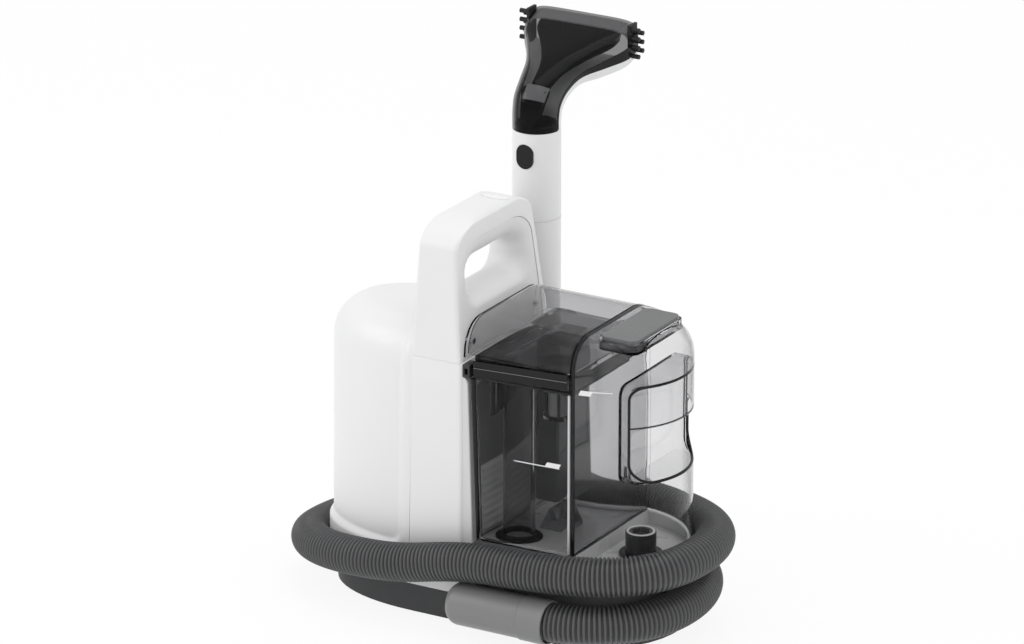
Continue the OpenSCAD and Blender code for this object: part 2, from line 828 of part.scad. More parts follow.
module float_cage() {
  top = lid_top - lid_roof;
  color(smoke_dark)
    translate([float_x, float_y, 0]) {
      tube(cage_r, cage_bore - 1, top - cage_ring, top);
      tube(cage_r, cage_bore, float_low - cage_ring, float_low);
      for (i = [0:5])
        rotate([0, 0, 60 * i])
          translate([cage_r - 1.5, 0, float_low - cage_ring / 3])
            cylinder(r = cage_bar, h = top - float_low);
    }
}

module float_body() {
  color(white)
    translate([float_x, float_y, float_low + part_gap])
      cylinder(r = cage_r - 1.5 - cage_bar - float_gap, h = float_h);
}

// ---- Clean tank ----

function clean_ring(z, inset, t = 0) =
  at_height(d_plan(clean_x + inset, clean_len - 2 * inset - (end_rx - inset) * (1 - cos(t)),
    tank_half - inset - (arch_rx - inset) * (1 - cos(t)), clean_round), z);

module clean_tank() {
  shoulder = arch_top - arch_rz;
  color(smoke_clear)
    difference() {
      skin(concat(
        [for (i = [4:-1:0]) let (t = 22.5 * i)
          clean_ring(shoulder + (arch_rz - tank_wall) * sin(t), tank_wall, t)],
        [clean_ring(clean_rim, tank_wall), clean_ring(clean_rim, 0)],
        [for (i = [0:6]) let (t = 15 * i) clean_ring(shoulder + arch_rz * sin(t), 0, t)]));
      along_x(pocket_x + 4, pocket_x + 60)
        polygon([for (p = round_rect(pocket_half - tank_wall, (lip_low - pocket_low) / 2 - 1, 8))
          p + [0, (lip_low + pocket_low) / 2]]);
      release_cut(0.1, 30);
    }
}

// Space of the release button's well, with a clearance round it
module release_cut(gap, h) {
  translate([release_x, release_y, well_low])
    linear_extrude(h)
      polygon(round_rect(release_len / 2 + 0.4 + well_wall + gap, release_wid / 2 + 0.4 + well_wall + gap,
        release_corner));
}

module finger_pocket() {
  mid = (pocket_low + pocket_high) / 2;
  half = (pocket_high - pocket_low) / 2;
  color(smoke_clear)
    difference() {
      intersection() {
        along_x(pocket_x - tank_wall, pocket_x + 60)
          polygon([for (p = round_rect(pocket_half, half, 10)) p + [0, mid]]);
        translate([0, 0, pocket_low])
          linear_extrude(pocket_high - pocket_low)
            polygon(d_plan(clean_x, clean_len - tank_wall - 0.1, tank_half - tank_wall - 0.1, clean_round));
      }
      along_x(pocket_x, pocket_x + 60)
        polygon([for (p = round_rect(pocket_half - tank_wall, half - tank_wall, 8)) p + [0, mid]]);
    }
}

module clean_tank_tray() {
  color(smoke_dark)
    difference() {
      union() {
        translate([0, 0, clean_low]) linear_extrude(tray_h)
          polygon(d_plan(clean_x, clean_len, tank_half, clean_round));
        translate([valve_x, 0, clean_low - 12]) cylinder(r = 9, h = 13);
      }
      translate([0, 0, clean_low + 3]) linear_extrude(tray_h)
        polygon(d_plan(clean_x + tank_wall, clean_len - 2 * tank_wall, tank_half - tank_wall, clean_round));
      translate([valve_x, 0, clean_low - 20]) cylinder(r = 6, h = 40);
    }
}

module valve_body() {
  color(black_rubber)
    translate([valve_x, 0, clean_low + 3])
      difference() {
        union() {
          cylinder(r = 19, h = 2.5);
          cylinder(r = 13.5, h = 21.5);
        }
        translate([0, 0, -1]) cylinder(r = 5.05, h = 30);
        translate([0, 0, 17]) cylinder(r = 8.5, h = 10, $fn = 6);
      }
}

module valve_stem() {
  color(white)
    translate([valve_x, 0, clean_low + 3.2]) cylinder(r = 5, h = 13.8);
}

module release_well() {
  top = arch_top - 0.8;
  color(smoke_dark)
    difference() {
      release_cut(0, top - well_low);
      translate([release_x, release_y, well_low + well_floor])
        linear_extrude(20)
          polygon(round_rect(release_len / 2 + 0.4, release_wid / 2 + 0.4, release_corner));
    }
}

module release_button() {
  color(smoke_dark)
    translate([release_x, release_y, release_low])
      linear_extrude(4.6) polygon(round_rect(release_len / 2, release_wid / 2, release_corner - 0.4));
}

module release_springs() {
  color(metal)
    for (y = [-26, 26])
      translate([release_x, release_y + y, 0]) tube(4, 3, well_low + well_floor, release_low - part_gap);
}

// ---- Hose ----

hose_turn_x = 116;
hose_turn_a = 94;
hose_lobe_a = 136.5;
hose_top_x = 60;
hose_top_a = 163;
hose_rise = [[0, 31.4], [1, 31.4], [2, 37], [3, 36.5], [4, 33], [5, 56], [6, 68.5], [7, 73], [8, 83], [9, 81]];

// Stretches of the hose in plan, each with its height at both ends
function hose_height(k, t) = mix(lookup(k, hose_rise), lookup(k + 1, hose_rise), t);
function hose_stretch(k, points) = let (n = len(points) - 1)
  [for (i = [0:n]) [points[i][0], points[i][1], hose_height(k, i / n)]];
function tail(list) = [for (i = [1:len(list) - 1]) list[i]];

hose_plan = concat(
  hose_stretch(0, [[hose_start, -hose_side], [hose_turn_x, -hose_side]]),
  tail(hose_stretch(1, oval_arc(hose_turn_x, hose_turn_a, hose_side, end_round, -90, 90, 48))),
  tail(hose_stretch(2, oval_arc(rear_x, 0.01, hose_side, end_round, 90, 90, 1))),
  tail(hose_stretch(3, oval_arc(rear_x, hose_lobe_a, hose_side, end_round, 90, 180, 30))),
  tail(hose_stretch(4, oval_arc(rear_x, hose_lobe_a, hose_side, end_round, 180, 270, 30))),
  tail(hose_stretch(5, [for (i = [0:5]) [mix(rear_x, column_front, i / 5), -hose_side]])),
  tail(hose_stretch(6, [for (i = [0:5]) [mix(column_front, hose_top_x, i / 5), -hose_side]])),
  tail(hose_stretch(7, oval_arc(hose_top_x, hose_top_a, hose_side, end_round + 0.4, -90, 0, 30))),
  tail(hose_stretch(8, oval_arc(hose_top_x, hose_top_a, hose_side, end_round + 0.4, 0, 90, 30))));

// Bend from the far side of the casing up into the wand
hose_last = hose_plan[len(hose_plan) - 1];
bend_low = hose_last[2];
hose_bend = concat(
  [for (i = [0:12]) let (t = 90 * i / 12)
    [bend_r * (1 - sin(t)), mix(hose_side, wand_y, (1 - cos(2 * t)) / 2), bend_low + bend_r * (1 - cos(t))]],
  [[0, wand_y, hose_end]]);
hose_path = concat(hose_plan, hose_bend);

hose_steps = [for (i = [1:len(hose_path) - 1]) norm(hose_path[i] - hose_path[i - 1])];
hose_marks = [for (i = 0, s = 0; i < len(hose_path); s = s + (i < len(hose_steps) ? hose_steps[i] : 0),
  i = i + 1) s];
hose_length = hose_marks[len(hose_marks) - 1];
hose_axis_tables = [for (k = [0:2]) [for (i = [0:len(hose_path) - 1]) [hose_marks[i], hose_path[i][k]]]];
function hose_at(s) = [for (k = [0:2]) lookup(s, hose_axis_tables[k])];

hose_ribs = 200;
hose_sides = 8;
bore_rings = 70;
function unit(v) = v / norm(v);
function hose_heading(s) =
  unit(hose_at(min(hose_length, s + 6)) - hose_at(max(0, s - 6)));
function carried(v, t) = unit(v - (v * t) * t);

// Rings of the hose with the given places and radii, carried along without twist
function hose_rings(places, radii) =
  let (
    headings = [for (s = places) hose_heading(s)],
    sides = [for (i = 0, v = [0, 0, 1]; i < len(places); i = i + 1,
      v = carried(v, headings[min(i, len(places) - 1)])) carried(v, headings[i])]
  )
  [for (i = [0:len(places) - 1])
    let (c = hose_at(places[i]), u = sides[i], w = cross(headings[i], u))
    [for (k = [0:hose_sides - 1]) let (a = 360 * k / hose_sides)
      c + radii[i] * (cos(a) * u + sin(a) * w)]];

hose_pitch = hose_length / hose_ribs;
hose_outer = hose_rings(
  concat([0], [for (i = [0:hose_ribs - 1], h = [0.25, 0.75]) (i + h) * hose_pitch], [hose_length]),
  concat([hose_r - rib_depth], [for (i = [0:hose_ribs - 1], h = [0, 1]) hose_r - rib_depth * h],
    [hose_r - rib_depth]));
hose_inner = hose_rings([for (i = [0:bore_rings]) hose_length * i / bore_rings],
  [for (i = [0:bore_rings]) hose_bore]);

// Least gap of the hose to itself, measured on points along its axis
hose_probe = [for (i = [0:144]) hose_at(hose_length * i / 144)];
hose_gap = min([for (i = [0:132], j = [i + 12:144]) norm(hose_probe[i] - hose_probe[j])]) - 2 * hose_r;
echo(hose_length = hose_length, least_gap_of_hose_to_itself = hose_gap);

module hose() {
  n = hose_sides;
  outer_count = len(hose_outer);
  inner_count = len(hose_inner);
  first_in = outer_count * n;
  last_out = (outer_count - 1) * n;
  last_in = first_in + (inner_count - 1) * n;
  outer = [for (k = [0:outer_count - 2], i = [0:n - 1])
    let (a = k * n + i, b = k * n + (i + 1) % n) each [[a, b + n, b], [a, a + n, b + n]]];
  inner = [for (k = [0:inner_count - 2], i = [0:n - 1])
    let (a = first_in + k * n + i, b = first_in + k * n + (i + 1) % n)
    each [[a, b, b + n], [a, b + n, a + n]]];
  mouths = [for (i = [0:n - 1]) let (j = (i + 1) % n)
    each [
      [i, j, first_in + j], [i, first_in + j, first_in + i],
      [last_out + i, last_in + j, last_out + j], [last_out + i, last_in + i, last_in + j]
    ]];
  color(hose_grey)
    polyhedron(points = concat([for (r = hose_outer) each r], [for (r = hose_inner) each r]),
      faces = concat(outer, inner, mouths));
}

// Elbow from its rounded blind end to the collar, as radius and place along X
function elbow_profile() = concat([[0, elbow_x - elbow_len]],
  arc([elbow_r - elbow_round, elbow_x - elbow_len + elbow_round], elbow_round, elbow_round, -90, 0, 8),
  [[elbow_r, collar_x], [0, collar_x]]);

module hose_elbow() {
  bore = hose_bore + 0.2;
  color(hose_grey)
    translate([0, -hose_side, hose_low])
      difference() {
        union() {
          rotate([0, 90, 0]) rotate_extrude() polygon(elbow_profile());
          translate([elbow_x, 0, 0])
            rotate([-90, 0, 0]) cylinder(r = pipe_r, h = hose_out + 1.7);
        }
        translate([elbow_x - 10, 0, 0]) rotate([0, 90, 0]) cylinder(r = bore, h = 100);
        translate([hose_start - 0.3, 0, 0]) rotate([0, 90, 0]) cylinder(r = hose_r + socket_gap, h = 100);
        translate([elbow_x, 0, 0]) rotate([-90, 0, 0]) cylinder(r = pipe_r - pipe_wall, h = 100);
      }
}

module hose_collar() {
  color(hose_grey)
    translate([collar_x, -hose_side, hose_low])
      rotate([0, 90, 0]) tube(collar_r, hose_r + socket_gap, 0, collar_len);
}

// ---- Wand ----

module wand_cradle() {
  clip_low = 190;
  clip_h = 22;
  clip_t = 3.6;
  plate_w = 44;
  plate_d = 5 - part_gap;
  grip = wand_r + 0.4;
  color(pan_grey)
    difference() {
      union() {
        translate([0, wand_y, clip_low])
          rotate([0, 0, 140])
            rotate_extrude(angle = 260) translate([grip, 0]) square([clip_t, clip_h]);
        translate([-plate_w / 2, half_w, sleeve_low - part_gap - plate_d])
          cube([plate_w, wand_out + hose_r - 3.3, plate_d]);
        translate([-plate_w / 2, half_w, sleeve_low - part_gap - plate_d])
          cube([plate_w, 2, clip_low + clip_h - sleeve_low + part_gap + plate_d]);
      }
      translate([-40, half_w - 20, clip_low - 5]) cube([80, 20, clip_h + 10]);
      translate([0, wand_y, sleeve_low - 10]) cylinder(r = hose_r + 1, h = 12);
      translate([-hose_r - 1, wand_y, sleeve_low - 10]) cube([2 * hose_r + 2, 40, 12]);
      translate([0, wand_y, sleeve_low - part_gap]) cylinder(r = grip, h = 200);
    }
}

module on_wand() {
  translate([0, wand_y, 0]) children();
}

sleeve_top = 205;

module wand_sleeve() {
  color(hose_grey)
    on_wand() {
      tube(wand_r, hose_r + socket_gap, sleeve_low, hose_end + 0.5);
      tube(wand_r, hose_bore, hose_end + 0.5 - eps, sleeve_top);
    }
}

module wand_lower() {
  color(white)
    on_wand() {
      tube(wand_r, wand_r - wand_wall, sleeve_top, joint_z);
      tube(wand_r - wand_wall + eps, wand_r - wand_wall - 2, joint_z - 12, joint_z);
      tube(wand_r - wand_wall - 0.05, wand_r - wand_wall - 2, joint_z - eps, joint_z + 12);
    }
}

module trigger_shape(gap, y0, y1) {
  translate([0, 0, trigger_z])
    along_y(y0, y1) stadium(trigger_half + gap, trigger_r + gap);
}

module wand_upper() {
  inner = wand_r - wand_wall;
  color(white)
    on_wand()
      difference() {
        union() {
          tube(wand_r, inner, joint_z + 0.1, wand_top);
          intersection() {
            translate([-30, -4, trigger_z - trigger_half - 14]) cube([60, 2, 26 + trigger_half]);
            cylinder(r = inner + 1, h = wand_top);
          }
        }
        trigger_shape(part_gap, -40, -12);
      }
}

module trigger() {
  color(black_rubber)
    on_wand() trigger_shape(0, -wand_r - 0.4, trigger_back);
}

trigger_back = -14.4;

module trigger_valve() {
  color(metal)
    on_wand()
      translate([0, -4, trigger_z - 6])
        rotate([90, 0, 0]) cylinder(r = 4, h = -trigger_back - 4 - trigger_travel - 0.5);
}

// ---- Nozzle ----

module on_nozzle() {
  translate([0, wand_y, 0]) rotate([0, 0, nozzle_yaw]) children();
}

// Stations of the nozzle's duct: its upper line, its lower line, half-width and squareness
mouth_top = wand_top + mouth_up;
mouth_low = mouth_top - mouth_h;
nozzle_base = wand_top + part_gap;
nozzle_stations = [
  [[-wand_r, nozzle_base], [wand_r, nozzle_base], wand_r, 2],
  [[-wand_r, wand_top + 17], [wand_r, wand_top + 5], wand_r, 2],
  [[-17, wand_top + 33], [wand_r + 1.6, wand_top + 13], wand_r + 0.2, 2.1],
  [[-2, wand_top + 46], [29, wand_top + 21], wand_r + 1.1, 2.4],
  [[20, mouth_top - 25], [40, mouth_low - 19], mix(wand_r, mouth_half, 0.22), 3],
  [[45, mouth_top - 15], [54, mouth_low - 11], mix(wand_r, mouth_half, 0.52), 4],
  [[66, mouth_top - 7], [70, mouth_low - 5], mix(wand_r, mouth_half, 0.8), 5],
  [[mouth_out, mouth_top], [mouth_out, mouth_low], mouth_half, 6]
];

// Points of one station from angle t0 to t1, with 90 degrees at the upper line
function station_points(s, inset, t0, t1, steps) =
  let (top = s[0], low = s[1], c = (top + low) / 2, up = unit(top - low), ht = norm(top - low) / 2)
  [for (i = [0:steps]) let (q = oval_point(mix(t0, t1, i / steps), s[2] - inset, ht - inset, s[3]))
    [q[0], c[0] + up[0] * q[1], c[1] + up[1] * q[1]]];
function channel_ring(s, t0, t1) =
  concat(station_points(s, 0, t0, t1, 16), reversed(station_points(s, nozzle_wall, t0, t1, 16)));

module nozzle_cover() {
  color(smoke_dark)
    on_nozzle() channel_skin([for (s = nozzle_stations) reversed(channel_ring(s, 0, 180))]);
}

module nozzle_shell() {
  color(white)
    on_nozzle() channel_skin([for (s = nozzle_stations) reversed(channel_ring(s, 180, 360))]);
}

module nozzle_collar() {
  color(smoke_dark)
    on_nozzle() {
      tube(wand_r - nozzle_wall - 0.15, wand_r - wand_wall - 2, nozzle_base, wand_top + 5);
      tube(wand_r - wand_wall - 0.2, wand_r - wand_wall - 2, wand_top - 7, nozzle_base + eps);
    }
}

module spray_tip() {
  color(smoke_clear)
    on_nozzle()
      hull() {
        translate([-7, -17, wand_top + 5]) cube([14, 8, 3]);
        translate([-12, -6, wand_top + 33]) cube([24, 8, 3]);
      }
}

module bristles(side) {
  plate = 2.6;
  color(black_rubber)
    on_nozzle()
      translate([side * (mouth_half + (side > 0 ? 0 : plate)) , 0, 0]) {
        translate([side > 0 ? 0 : plate, mouth_out - bristle_plate, mouth_low + 1])
          mirror([side > 0 ? 0 : 1, 0, 0]) {
            cube([plate, bristle_plate, mouth_h - 2]);
            for (i = [0:3])
              translate([plate - eps, 3, 4 + 8 * i])
                rotate([0, 90, 0]) cylinder(r = bristle_r, h = bristle_len, $fn = 16);
            for (i = [0:2])
              translate([plate - eps, bristle_plate - 3, 8 + 8 * i])
                rotate([0, 90, 0]) cylinder(r = bristle_r, h = bristle_len, $fn = 16);
          }
      }
}

module bristle_left() {
  bristles(-1);
}

module bristle_right() {
  bristles(1);
}

// ---- Suction unit and pump ----

pan_floor = foot_h + pan_wall;
can_low = pan_floor + 33;
can_top = can_low + 60;
fan_top = can_top + 32;

module at_motor() {
  translate([motor_x, 0, 0]) children();
}

module motor_mount() {
  color(pan_grey)
    at_motor() {
      tube(motor_r + 2, motor_r - 4, pan_floor, can_low);
      tube(motor_r + 2, motor_r + 0.3, can_low - eps, can_low + 8);
    }
}

module motor_can() {
  color(metal)
    at_motor()
      difference() {
        translate([0, 0, can_low]) cylinder(r = motor_r, h = can_top - can_low);
        translate([0, 0, can_low + 20]) cylinder(r = shaft_r + shaft_gap, h = 100);
      }
}

module motor_shaft() {
  color(metal)
    at_motor() translate([0, 0, can_low + 20.3]) cylinder(r = shaft_r, h = fan_top - can_low - 25);
}

module impeller() {
  blades = 9;
  color(white)
    at_motor()
      difference() {
        union() {
          translate([0, 0, can_top + 7]) cylinder(r = impeller_r, h = 2);
          translate([0, 0, can_top + 7]) cylinder(r = 8, h = 15);
          for (i = [0:blades - 1])
            rotate([0, 0, 360 * i / blades])
              translate([6, 0, can_top + 8.9])
                rotate([0, 0, 20]) cube([impeller_r - 9, 1.6, 10]);
        }
        translate([0, 0, can_top]) cylinder(r = shaft_r, h = 60);
      }
}

module fan_housing() {
  color(pan_grey)
    at_motor()
      difference() {
        translate([0, 0, can_top]) cylinder(r = impeller_r + 6, h = fan_top - can_top);
        translate([0, 0, can_top + 3]) cylinder(r = impeller_r + 3, h = fan_top - can_top - 6);
        translate([0, 0, can_top - 1]) cylinder(r = shaft_r + 3, h = 10);
        translate([0, 0, fan_top - 10]) cylinder(r = 15, h = 20);
      }
}

module suction_duct() {
  rise = 40;
  turn = 30;
  r = 17;
  bore = 15;
  color(smoke_dark)
    at_motor() {
      tube(r, bore, fan_top, fan_top + rise);
      translate([turn, 0, fan_top + rise])
        rotate([90, 0, 180])
          rotate_extrude(angle = 90)
            translate([turn, 0]) difference() {
              circle(r);
              circle(bore);
            }
      translate([turn, 0, fan_top + rise + turn])
        rotate([0, 90, 0]) tube(r, bore, -eps, rear_low_x - case_wall - motor_x - turn - 0.6);
    }
}

module water_pump() {
  x = 74;
  y = 10;
  r = 15;
  length = 48;
  axis_z = pan_floor + 22;
  foot_half = 18;
  color(pan_grey) {
    translate([x + 2, y - foot_half, pan_floor]) cube([length - 4, 2 * foot_half, 8]);
    translate([x, y, axis_z]) rotate([0, 90, 0]) cylinder(r = r, h = length);
    translate([x + 14, y, axis_z]) cylinder(r = 5, h = 26);
  }
}

module control_board() {
  half = 46;
  rise = 140;
  board = 2;
  part_w = 12;
  pitch = 20;
  low = 70;
  color(board_green) {
    translate([-board, -half, pan_floor]) cube([4 * board, 2 * half, 4]);
    translate([0, -half, pan_floor]) cube([board, 2 * half, rise]);
    for (i = [0:3])
      translate([board - 0.1, pitch * (i - 1.8), low + part_w * (i % 2)]) cube([9, part_w, 14]);
  }
}

rubber_feet();
base_pan();
tank_deck();
case_screws();
lobe_shell();
exhaust_grille();
cord_gland();
column_shell();
column_louvre();
side_latches();
handle_shell();
handle_insert();
power_button();
cover_plate();
plate_screws();
dirty_tank();
intake_pipe();
intake_seal();
tank_baffle();
lid_gasket();
dirty_lid();
hood();
separator_box();
float_cage();
float_body();
clean_tank();
finger_pocket();
clean_tank_tray();
valve_body();
valve_stem();
release_well();
release_button();
release_springs();
hose_elbow();
hose_collar();
hose();
wand_cradle();
wand_sleeve();
wand_lower();
wand_upper();
trigger();
trigger_valve();
nozzle_collar();
nozzle_cover();
nozzle_shell();
spray_tip();
bristle_left();
bristle_right();
motor_mount();
motor_can();
motor_shaft();
impeller();
fan_housing();
suction_duct();
water_pump();
control_board();
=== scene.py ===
import bpy
import bmesh
import math
from mathutils import Matrix, Vector


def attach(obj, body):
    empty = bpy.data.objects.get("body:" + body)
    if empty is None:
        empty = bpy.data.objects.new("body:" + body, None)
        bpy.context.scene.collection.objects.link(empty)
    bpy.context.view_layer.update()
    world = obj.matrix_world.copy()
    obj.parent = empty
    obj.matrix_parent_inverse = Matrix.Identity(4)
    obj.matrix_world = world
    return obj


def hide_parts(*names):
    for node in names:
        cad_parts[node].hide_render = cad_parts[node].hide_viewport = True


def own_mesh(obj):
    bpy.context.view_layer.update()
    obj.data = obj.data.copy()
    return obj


# Spot extractor: the visible pieces and materials round the CAD frame.
# Lengths are in millimetres and angles in degrees. Only the camera and the lights are in metres.

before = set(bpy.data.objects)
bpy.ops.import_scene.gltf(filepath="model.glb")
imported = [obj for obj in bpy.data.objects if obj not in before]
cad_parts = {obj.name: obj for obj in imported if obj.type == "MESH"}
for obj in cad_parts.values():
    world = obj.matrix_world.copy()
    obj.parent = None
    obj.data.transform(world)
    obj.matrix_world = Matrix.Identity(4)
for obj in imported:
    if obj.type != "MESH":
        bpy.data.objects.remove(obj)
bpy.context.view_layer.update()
scene = bpy.context.scene
MM = 0.001

# ---------------- camera, world and lights

CAMERA_AIM = Vector((-16.8, 85.0, 223.7)) * MM
CAMERA_DISTANCE = 6.157
to_camera = Vector((0.4738, -0.8108, 0.3437)).normalized()
picture_right = Vector((0.8634, 0.5045, 0.0)).normalized()
picture_up = to_camera.cross(picture_right).normalized()
picture_right = picture_up.cross(to_camera).normalized()

cam_data = bpy.data.cameras.new("camera")
cam = bpy.data.objects.new("camera", cam_data)
scene.collection.objects.link(cam)
cam.matrix_world = Matrix.Translation(CAMERA_AIM + to_camera * CAMERA_DISTANCE) @ Matrix(
    (picture_right, picture_up, to_camera)).transposed().to_4x4()
cam_data.sensor_fit = "HORIZONTAL"
cam_data.sensor_width = 36.0
cam_data.lens = 246.1
cam_data.clip_start = 0.1
cam_data.clip_end = 60.0
scene.camera = cam
scene.view_settings.view_transform = "Standard"

world = bpy.data.worlds.new("studio")
scene.world = world
world.use_nodes = True
background = world.node_tree.nodes["Background"]
background.inputs["Color"].default_value = (1.0, 1.0, 1.0, 1.0)
background.inputs["Strength"].default_value = 0.78


def area_light(name, place, size, size_y, power):
    """A lamp in metres and watts that points at the object's middle."""
    data = bpy.data.lights.new(name, "AREA")
    data.shape = "RECTANGLE"
    data.size = size
    data.size_y = size_y
    data.energy = power
    ob = bpy.data.objects.new(name, data)
    ob.location = place
    ob.rotation_euler = (Vector((0, 0, 0.2)) - Vector(place)).to_track_quat("-Z", "Y").to_euler()
    scene.collection.objects.link(ob)


area_light("key_light", (-2.5, -1.7, 2.0), 1.8, 1.8, 25)
area_light("fill_light", (2.6, -1.2, 1.4), 1.4, 1.8, 6)
area_light("top_light", (0.2, 0.3, 3.0), 2.2, 2.2, 21)

# ---------------- numbers, outlines and lines


def mix(a, b, t):
    return a + (b - a) * t


def smooth_step(t):
    t = max(0.0, min(1.0, t))
    return t * t * (3 - 2 * t)


def signed_power(v, e):
    """v to the power e, with its sign kept."""
    return math.copysign(abs(v) ** e, v)


def settled(v):
    """A sine or cosine without the rounding noise that a power would blow up."""
    return 0.0 if abs(v) < 1e-12 else v


def round_angles(sides):
    return [2 * math.pi * k / sides for k in range(sides)]


def circle(centre, r, sides):
    """A level ring of points."""
    x, y, z = centre
    return [(x + r * math.cos(a), y + r * math.sin(a), z) for a in round_angles(sides)]


def arc(c, rx, ry, t0, t1, steps):
    """Part of an ellipse round c, from angle t0 to t1."""
    angles = [math.radians(t0 + (t1 - t0) * i / steps) for i in range(steps + 1)]
    return [(c[0] + rx * math.cos(t), c[1] + ry * math.sin(t)) for t in angles]


def oval_arc(cx, a, b, n, t0, t1, steps):
    """Part of a superellipse of exponent n round (cx, 0), from angle t0 to t1."""
    out = []
    for i in range(steps + 1):
        t = math.radians(t0 + (t1 - t0) * i / steps)
        out.append((cx + a * signed_power(settled(math.cos(t)), 2 / n),
                    b * signed_power(settled(math.sin(t)), 2 / n)))
    return out


def corner_loop(*corners):
    """An outline of quarter turns, each of a centre, two radii, a first angle and a number of steps."""
    return [p for c, rx, ry, t0, steps in corners for p in arc(c, rx, ry, t0, t0 + 90, steps)]


def round_rect(cx, cy, hx, hy, r, steps):
    """A rectangle with rounded corners, given by its middle and its half sides."""
    pts = corner_loop(((hx - r, hy - r), r, r, 0, steps), ((r - hx, hy - r), r, r, 90, steps),
                      ((r - hx, r - hy), r, r, 180, steps), ((hx - r, r - hy), r, r, 270, steps))
    return [(x + cx, y + cy) for x, y in pts]


def mouth_outline(half, low, high, low_r, top_ry, top_rz, low_steps=18, top_steps=18):
    """An opening with round lower corners and elliptic upper ones."""
    return corner_loop(((low_r - half, low + low_r), low_r, low_r, 180, low_steps),
                       ((half - low_r, low + low_r), low_r, low_r, 270, low_steps),
                       ((half - top_ry, high - top_rz), top_ry, top_rz, 0, top_steps),
                       ((top_ry - half, high - top_rz), top_ry, top_rz, 90, top_steps))


def marks_along(points):
    """The length of a line up to each of its points."""
    marks = [0.0]
    for a, b in zip(points, points[1:]):
        marks.append(marks[-1] + math.dist(a, b))
    return marks


def even_points(points, steps):
    """The same line with its points evenly spaced."""
    marks = marks_along(points)
    out, j = [], 0
    for i in range(steps + 1):
        s = marks[-1] * i / steps
        while j < len(marks) - 2 and marks[j + 1] < s:
            j += 1
        span = marks[j + 1] - marks[j]
        t = 0 if span < 1e-12 else (s - marks[j]) / span
        out.append(tuple(mix(p, q, t) for p, q in zip(points[j], points[j + 1])))
    return out


# ---------------- mesh building

def shade(mesh, angle):
    """Smooth shading, but for edges sharper than the angle if one is given."""
    for p in mesh.polygons:
        p.use_smooth = True
    if angle is not None:
        mesh.set_sharp_from_angle(angle=math.radians(angle))


def build(name, points, faces, angle=32, merge=True):
    """A new object of points in millimetres, with its faces turned outward."""
    mesh = bpy.data.meshes.new(name)
    mesh.from_pydata([[c * MM for c in p] for p in points], [], faces)
    bm = bmesh.new()
    bm.from_mesh(mesh)
    if merge:
        bmesh.ops.remove_doubles(bm, verts=bm.verts, dist=1e-7)
    bmesh.ops.recalc_face_normals(bm, faces=bm.faces)
    bm.to_mesh(mesh)
    bm.free()
    shade(mesh, angle)
    ob = bpy.data.objects.new(name, mesh)
    scene.collection.objects.link(ob)
    return ob


def skin_faces(count, n, loop):
    """The faces between count rings of n points: a closed loop of rings, or a bar with capped ends."""
    faces = []
    for k in range(count if loop else count - 1):
        for i in range(n):
            a, b = k * n + i, k * n + (i + 1) % n
            c, d = ((k + 1) % count) * n + i, ((k + 1) % count) * n + (i + 1) % n
            faces.append((a, b, d, c))
    if not loop:
        faces.append(tuple(range(n - 1, -1, -1)))
        faces.append(tuple((count - 1) * n + i for i in range(n)))
    return faces


def loft(name, rings, loop=False, angle=32):
    """A skin over closed rings of points."""
    return build(name, [p for r in rings for p in r], skin_faces(len(rings), len(rings[0]), loop), angle)


def soften(ob, width, segments=3, limit=35):
    """Rounds a piece's edges and shades it by its flats."""
    b = ob.modifiers.new("rounded_edges", "BEVEL")
    b.width = width * MM
    b.segments = segments
    b.limit_method = "ANGLE"
    b.angle_limit = math.radians(limit)
    b.harden_normals = False
    b.miter_outer = "MITER_ARC"
    b.use_clamp_overlap = True
    w = ob.modifiers.new("shading", "WEIGHTED_NORMAL")
    w.keep_sharp = False
    w.weight = 60


def prism(name, outline, low, high, axis="z", edge=0.0):
    """An outline in a plane, extruded along an axis, with its rims rounded by edge."""
    def place(p, h):
        return {"z": (p[0], p[1], h), "x": (h, p[0], p[1]), "y": (p[0], h, p[1])}[axis]
    ob = loft(name, [[place(p, low) for p in outline], [place(p, high) for p in outline]])
    if edge:
        soften(ob, edge)
    return ob


def box(name, low, high, edge=0.0):
    x0, y0, z0 = low
    x1, y1, z1 = high
    return prism(name, [(x0, y0), (x1, y0), (x1, y1), (x0, y1)], z0, z1, edge=edge)


def bead(name, path, radius, closed=False, sides=10, flat=1.0, taper=1.0):
    """A slim round bar along a path. Its section may be flattened, and may change to taper at its end."""
    pts = [Vector(p) for p in path]
    n = len(pts)
    angles = round_angles(sides)
    rings = []
    side = None
    for i, p in enumerate(pts):
        before = pts[i - 1] if closed or i else pts[0]
        after = pts[(i + 1) % n] if closed or i < n - 1 else pts[-1]
        t = (after - before).normalized()
        if side is None:
            side = Vector((1, 0, 0)) if abs(t.x) < 0.9 else Vector((0, 0, 1))
        side = (side - side.dot(t) * t).normalized()
        other = t.cross(side)
        r = radius * mix(1.0, taper, i / (n - 1))
        rings.append([tuple(p + r * (math.cos(a) * side + flat * math.sin(a) * other)) for a in angles])
    return loft(name, rings, loop=closed, angle=60)


def wall_strip(name, x0, x1, z0, z1, wall, proud=0.12, slant=0.0, rise=0.0):
    """A thin skin that follows a near wall from x0 to x1. Its upper edge may be set over by slant, and
    the whole may climb by rise on its way."""
    steps = 12
    points, faces = [], []
    for i in range(steps + 1):
        x = mix(x0, x1, i / steps)
        for z, shift in ((z0, 0.0), (z1, slant)):
            for out in (0.02, proud):
                points.append((x + shift, wall(x + shift) - out, z + rise * i / steps))
    for i in range(steps):
        a, b = 4 * i, 4 * (i + 1)
        faces += [(a, b, b + 1, a + 1), (a + 2, a + 3, b + 3, b + 2),
                  (a + 1, b + 1, b + 3, a + 3), (a, a + 2, b + 2, b)]
    faces += [(0, 1, 3, 2), (4 * steps, 4 * steps + 2, 4 * steps + 3, 4 * steps + 1)]
    return build(name, points, faces, merge=False)


